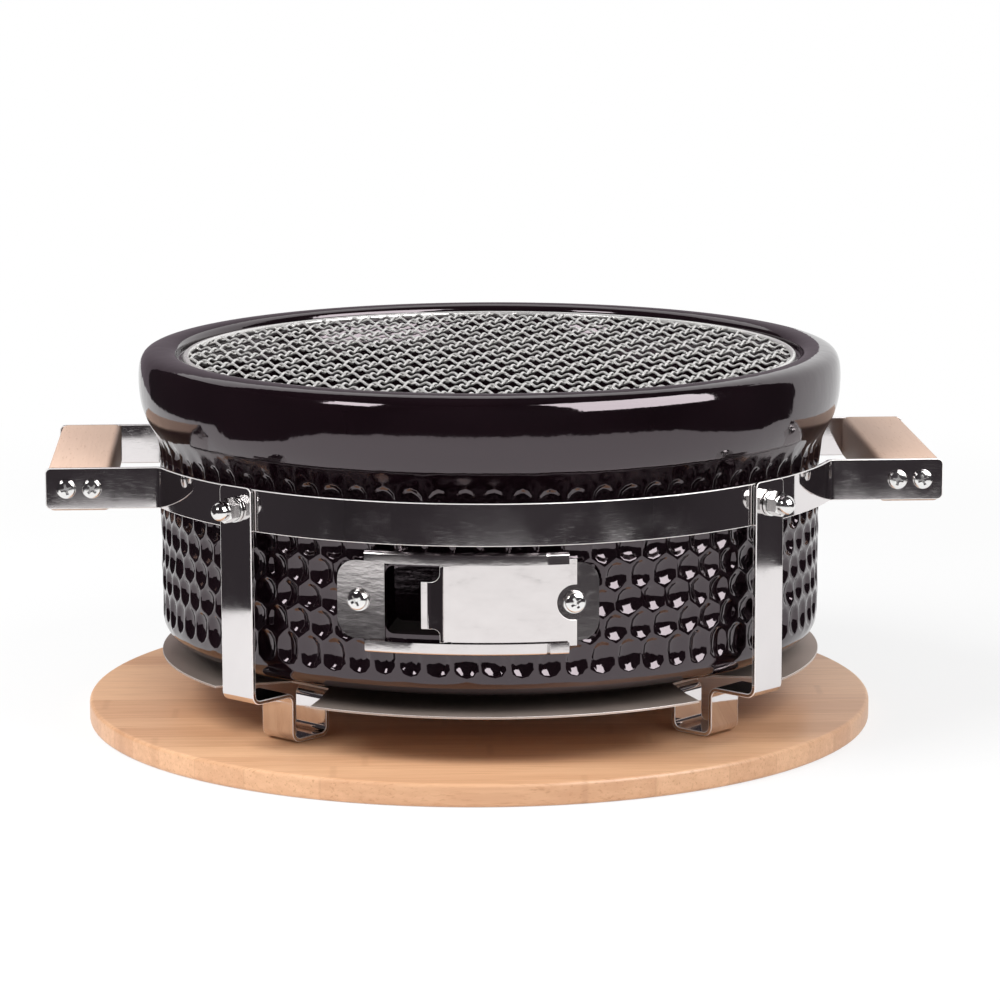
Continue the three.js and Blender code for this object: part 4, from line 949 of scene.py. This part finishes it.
def flat_stage(name, low, high, axis, material, seen_by_camera):
    """Flat stage piece between two corners, thin along one axis."""
    start_piece()
    middle = [(a + b) / 2 for a, b in zip(low, high)]
    turn = {"z": (0, 0, 0), "y": (math.pi / 2, 0, 0), "x": (0, math.pi / 2, 0)}[axis]
    bpy.ops.mesh.primitive_plane_add(size=1, location=middle, rotation=turn)
    piece = bpy.context.object
    piece.name = name
    spans = [b - a for a, b in zip(low, high)]
    piece.scale = {"z": (spans[0], spans[1], 1), "y": (spans[0], spans[2], 1), "x": (spans[2], spans[1], 1)}[axis]
    bpy.ops.object.transform_apply(location=True, rotation=True, scale=True)
    piece.data.materials.append(material)
    if not seen_by_camera:
        piece.visible_camera = False
        piece.visible_diffuse = False
        piece.visible_shadow = False
    return piece


TABLE_FRONT = [(-640, 40), (-420, -40), (-420, -200), (-530, -330), (-550, -440), (-425, -606), (-230, -712), (0, -735)]
TABLE_FRONT += [(230, -722), (436, -610), (590, -440), (535, -200), (535, -40), (660, 40)]
table_outline = [place(x, y, 0) for x, y in [(-640, 2600), (-640, 500)] + TABLE_FRONT + [(700, 500), (700, 2600)]]
table = drawn("table", table_outline, closed=True)
tidy_mesh()
table.data.materials.append(table_finish())
curtain = Finish("dark_curtain", Base_Color=(0.036, 0.028, 0.034, 1), Roughness=0.9).material
flat_stage("front_curtain", (-1.8, -1.6, -1.5), (1.8, -1.6, 1.7), "y", curtain, False)
flat_stage("left_curtain", (-1.8, -1.6, -1.5), (-1.8, 2.7, 1.7), "x", curtain, False)
flat_stage("right_curtain", (1.8, -1.6, -1.5), (1.8, 0.6, 1.7), "x", curtain, False)
grey_curtain = Finish("grey_curtain", Base_Color=(0, 0, 0, 1), Emission_Color=(0.22, 0.185, 0.21, 1), Emission_Strength=1.0).material
flat_stage("back_curtain", (-1.8, 2.7, -1.5), (0.55, 2.7, 1.7), "y", grey_curtain, False)
flat_stage("ceiling", (-1.8, -1.6, 1.7), (1.8, 0.9, 1.7), "z", curtain, False)

world = bpy.data.worlds.new("studio")
bpy.context.scene.world = world
world.use_nodes = True
backdrop = world.node_tree.nodes["Background"]
path = world.node_tree.nodes.new("ShaderNodeLightPath")
total = Wire(world.node_tree, path.outputs["Is Camera Ray"]).most(Wire(world.node_tree, path.outputs["Is Glossy Ray"])).most(Wire(world.node_tree, path.outputs["Is Transmission Ray"]))
strength = 0.42 + 0.58 * total
world.node_tree.links.new(strength.socket, backdrop.inputs["Strength"])
backdrop.inputs["Color"].default_value = (1, 1, 1, 1)


def softbox(name, at, size, power, mirrored):
    """Square soft light that points at the bowl; only a mirrored one shows in polished surfaces."""
    direction = Vector((0, 0, 0.08)) - Vector(at)
    bpy.ops.object.light_add(type="AREA", location=at, rotation=direction.to_track_quat("-Z", "Y").to_euler())
    lamp = bpy.context.object
    lamp.name = name
    lamp.data.shape = "RECTANGLE"
    lamp.data.size, lamp.data.size_y = size
    lamp.data.energy = power
    lamp.visible_glossy = mirrored
    lamp.visible_diffuse = not mirrored


softbox("key", (-0.95, -0.45, 1.3), (1.0, 1.0), 24, False)
softbox("right_fill", (0.9, -0.7, 1.2), (0.8, 0.8), 11, False)
softbox("right_panel", (0.95, -0.85, 0.95), (1.3, 1.1), 34, True)
softbox("left_panel", (-0.85, -0.75, 0.85), (0.34, 0.34), 3, True)

bpy.ops.object.camera_add(location=(-0.0960, -1.8933, 0.4474))
camera = bpy.context.object
turn = Euler((math.radians(79.763), 0, math.radians(-3.051))).to_matrix() @ Matrix.Rotation(math.radians(-0.128), 3, "Z")
camera.rotation_euler = turn.to_euler()
camera.data.sensor_width = 36
camera.data.lens = 141.93
camera.data.clip_end = 50
bpy.context.scene.camera = camera
bpy.context.scene.view_settings.view_transform = "Standard"
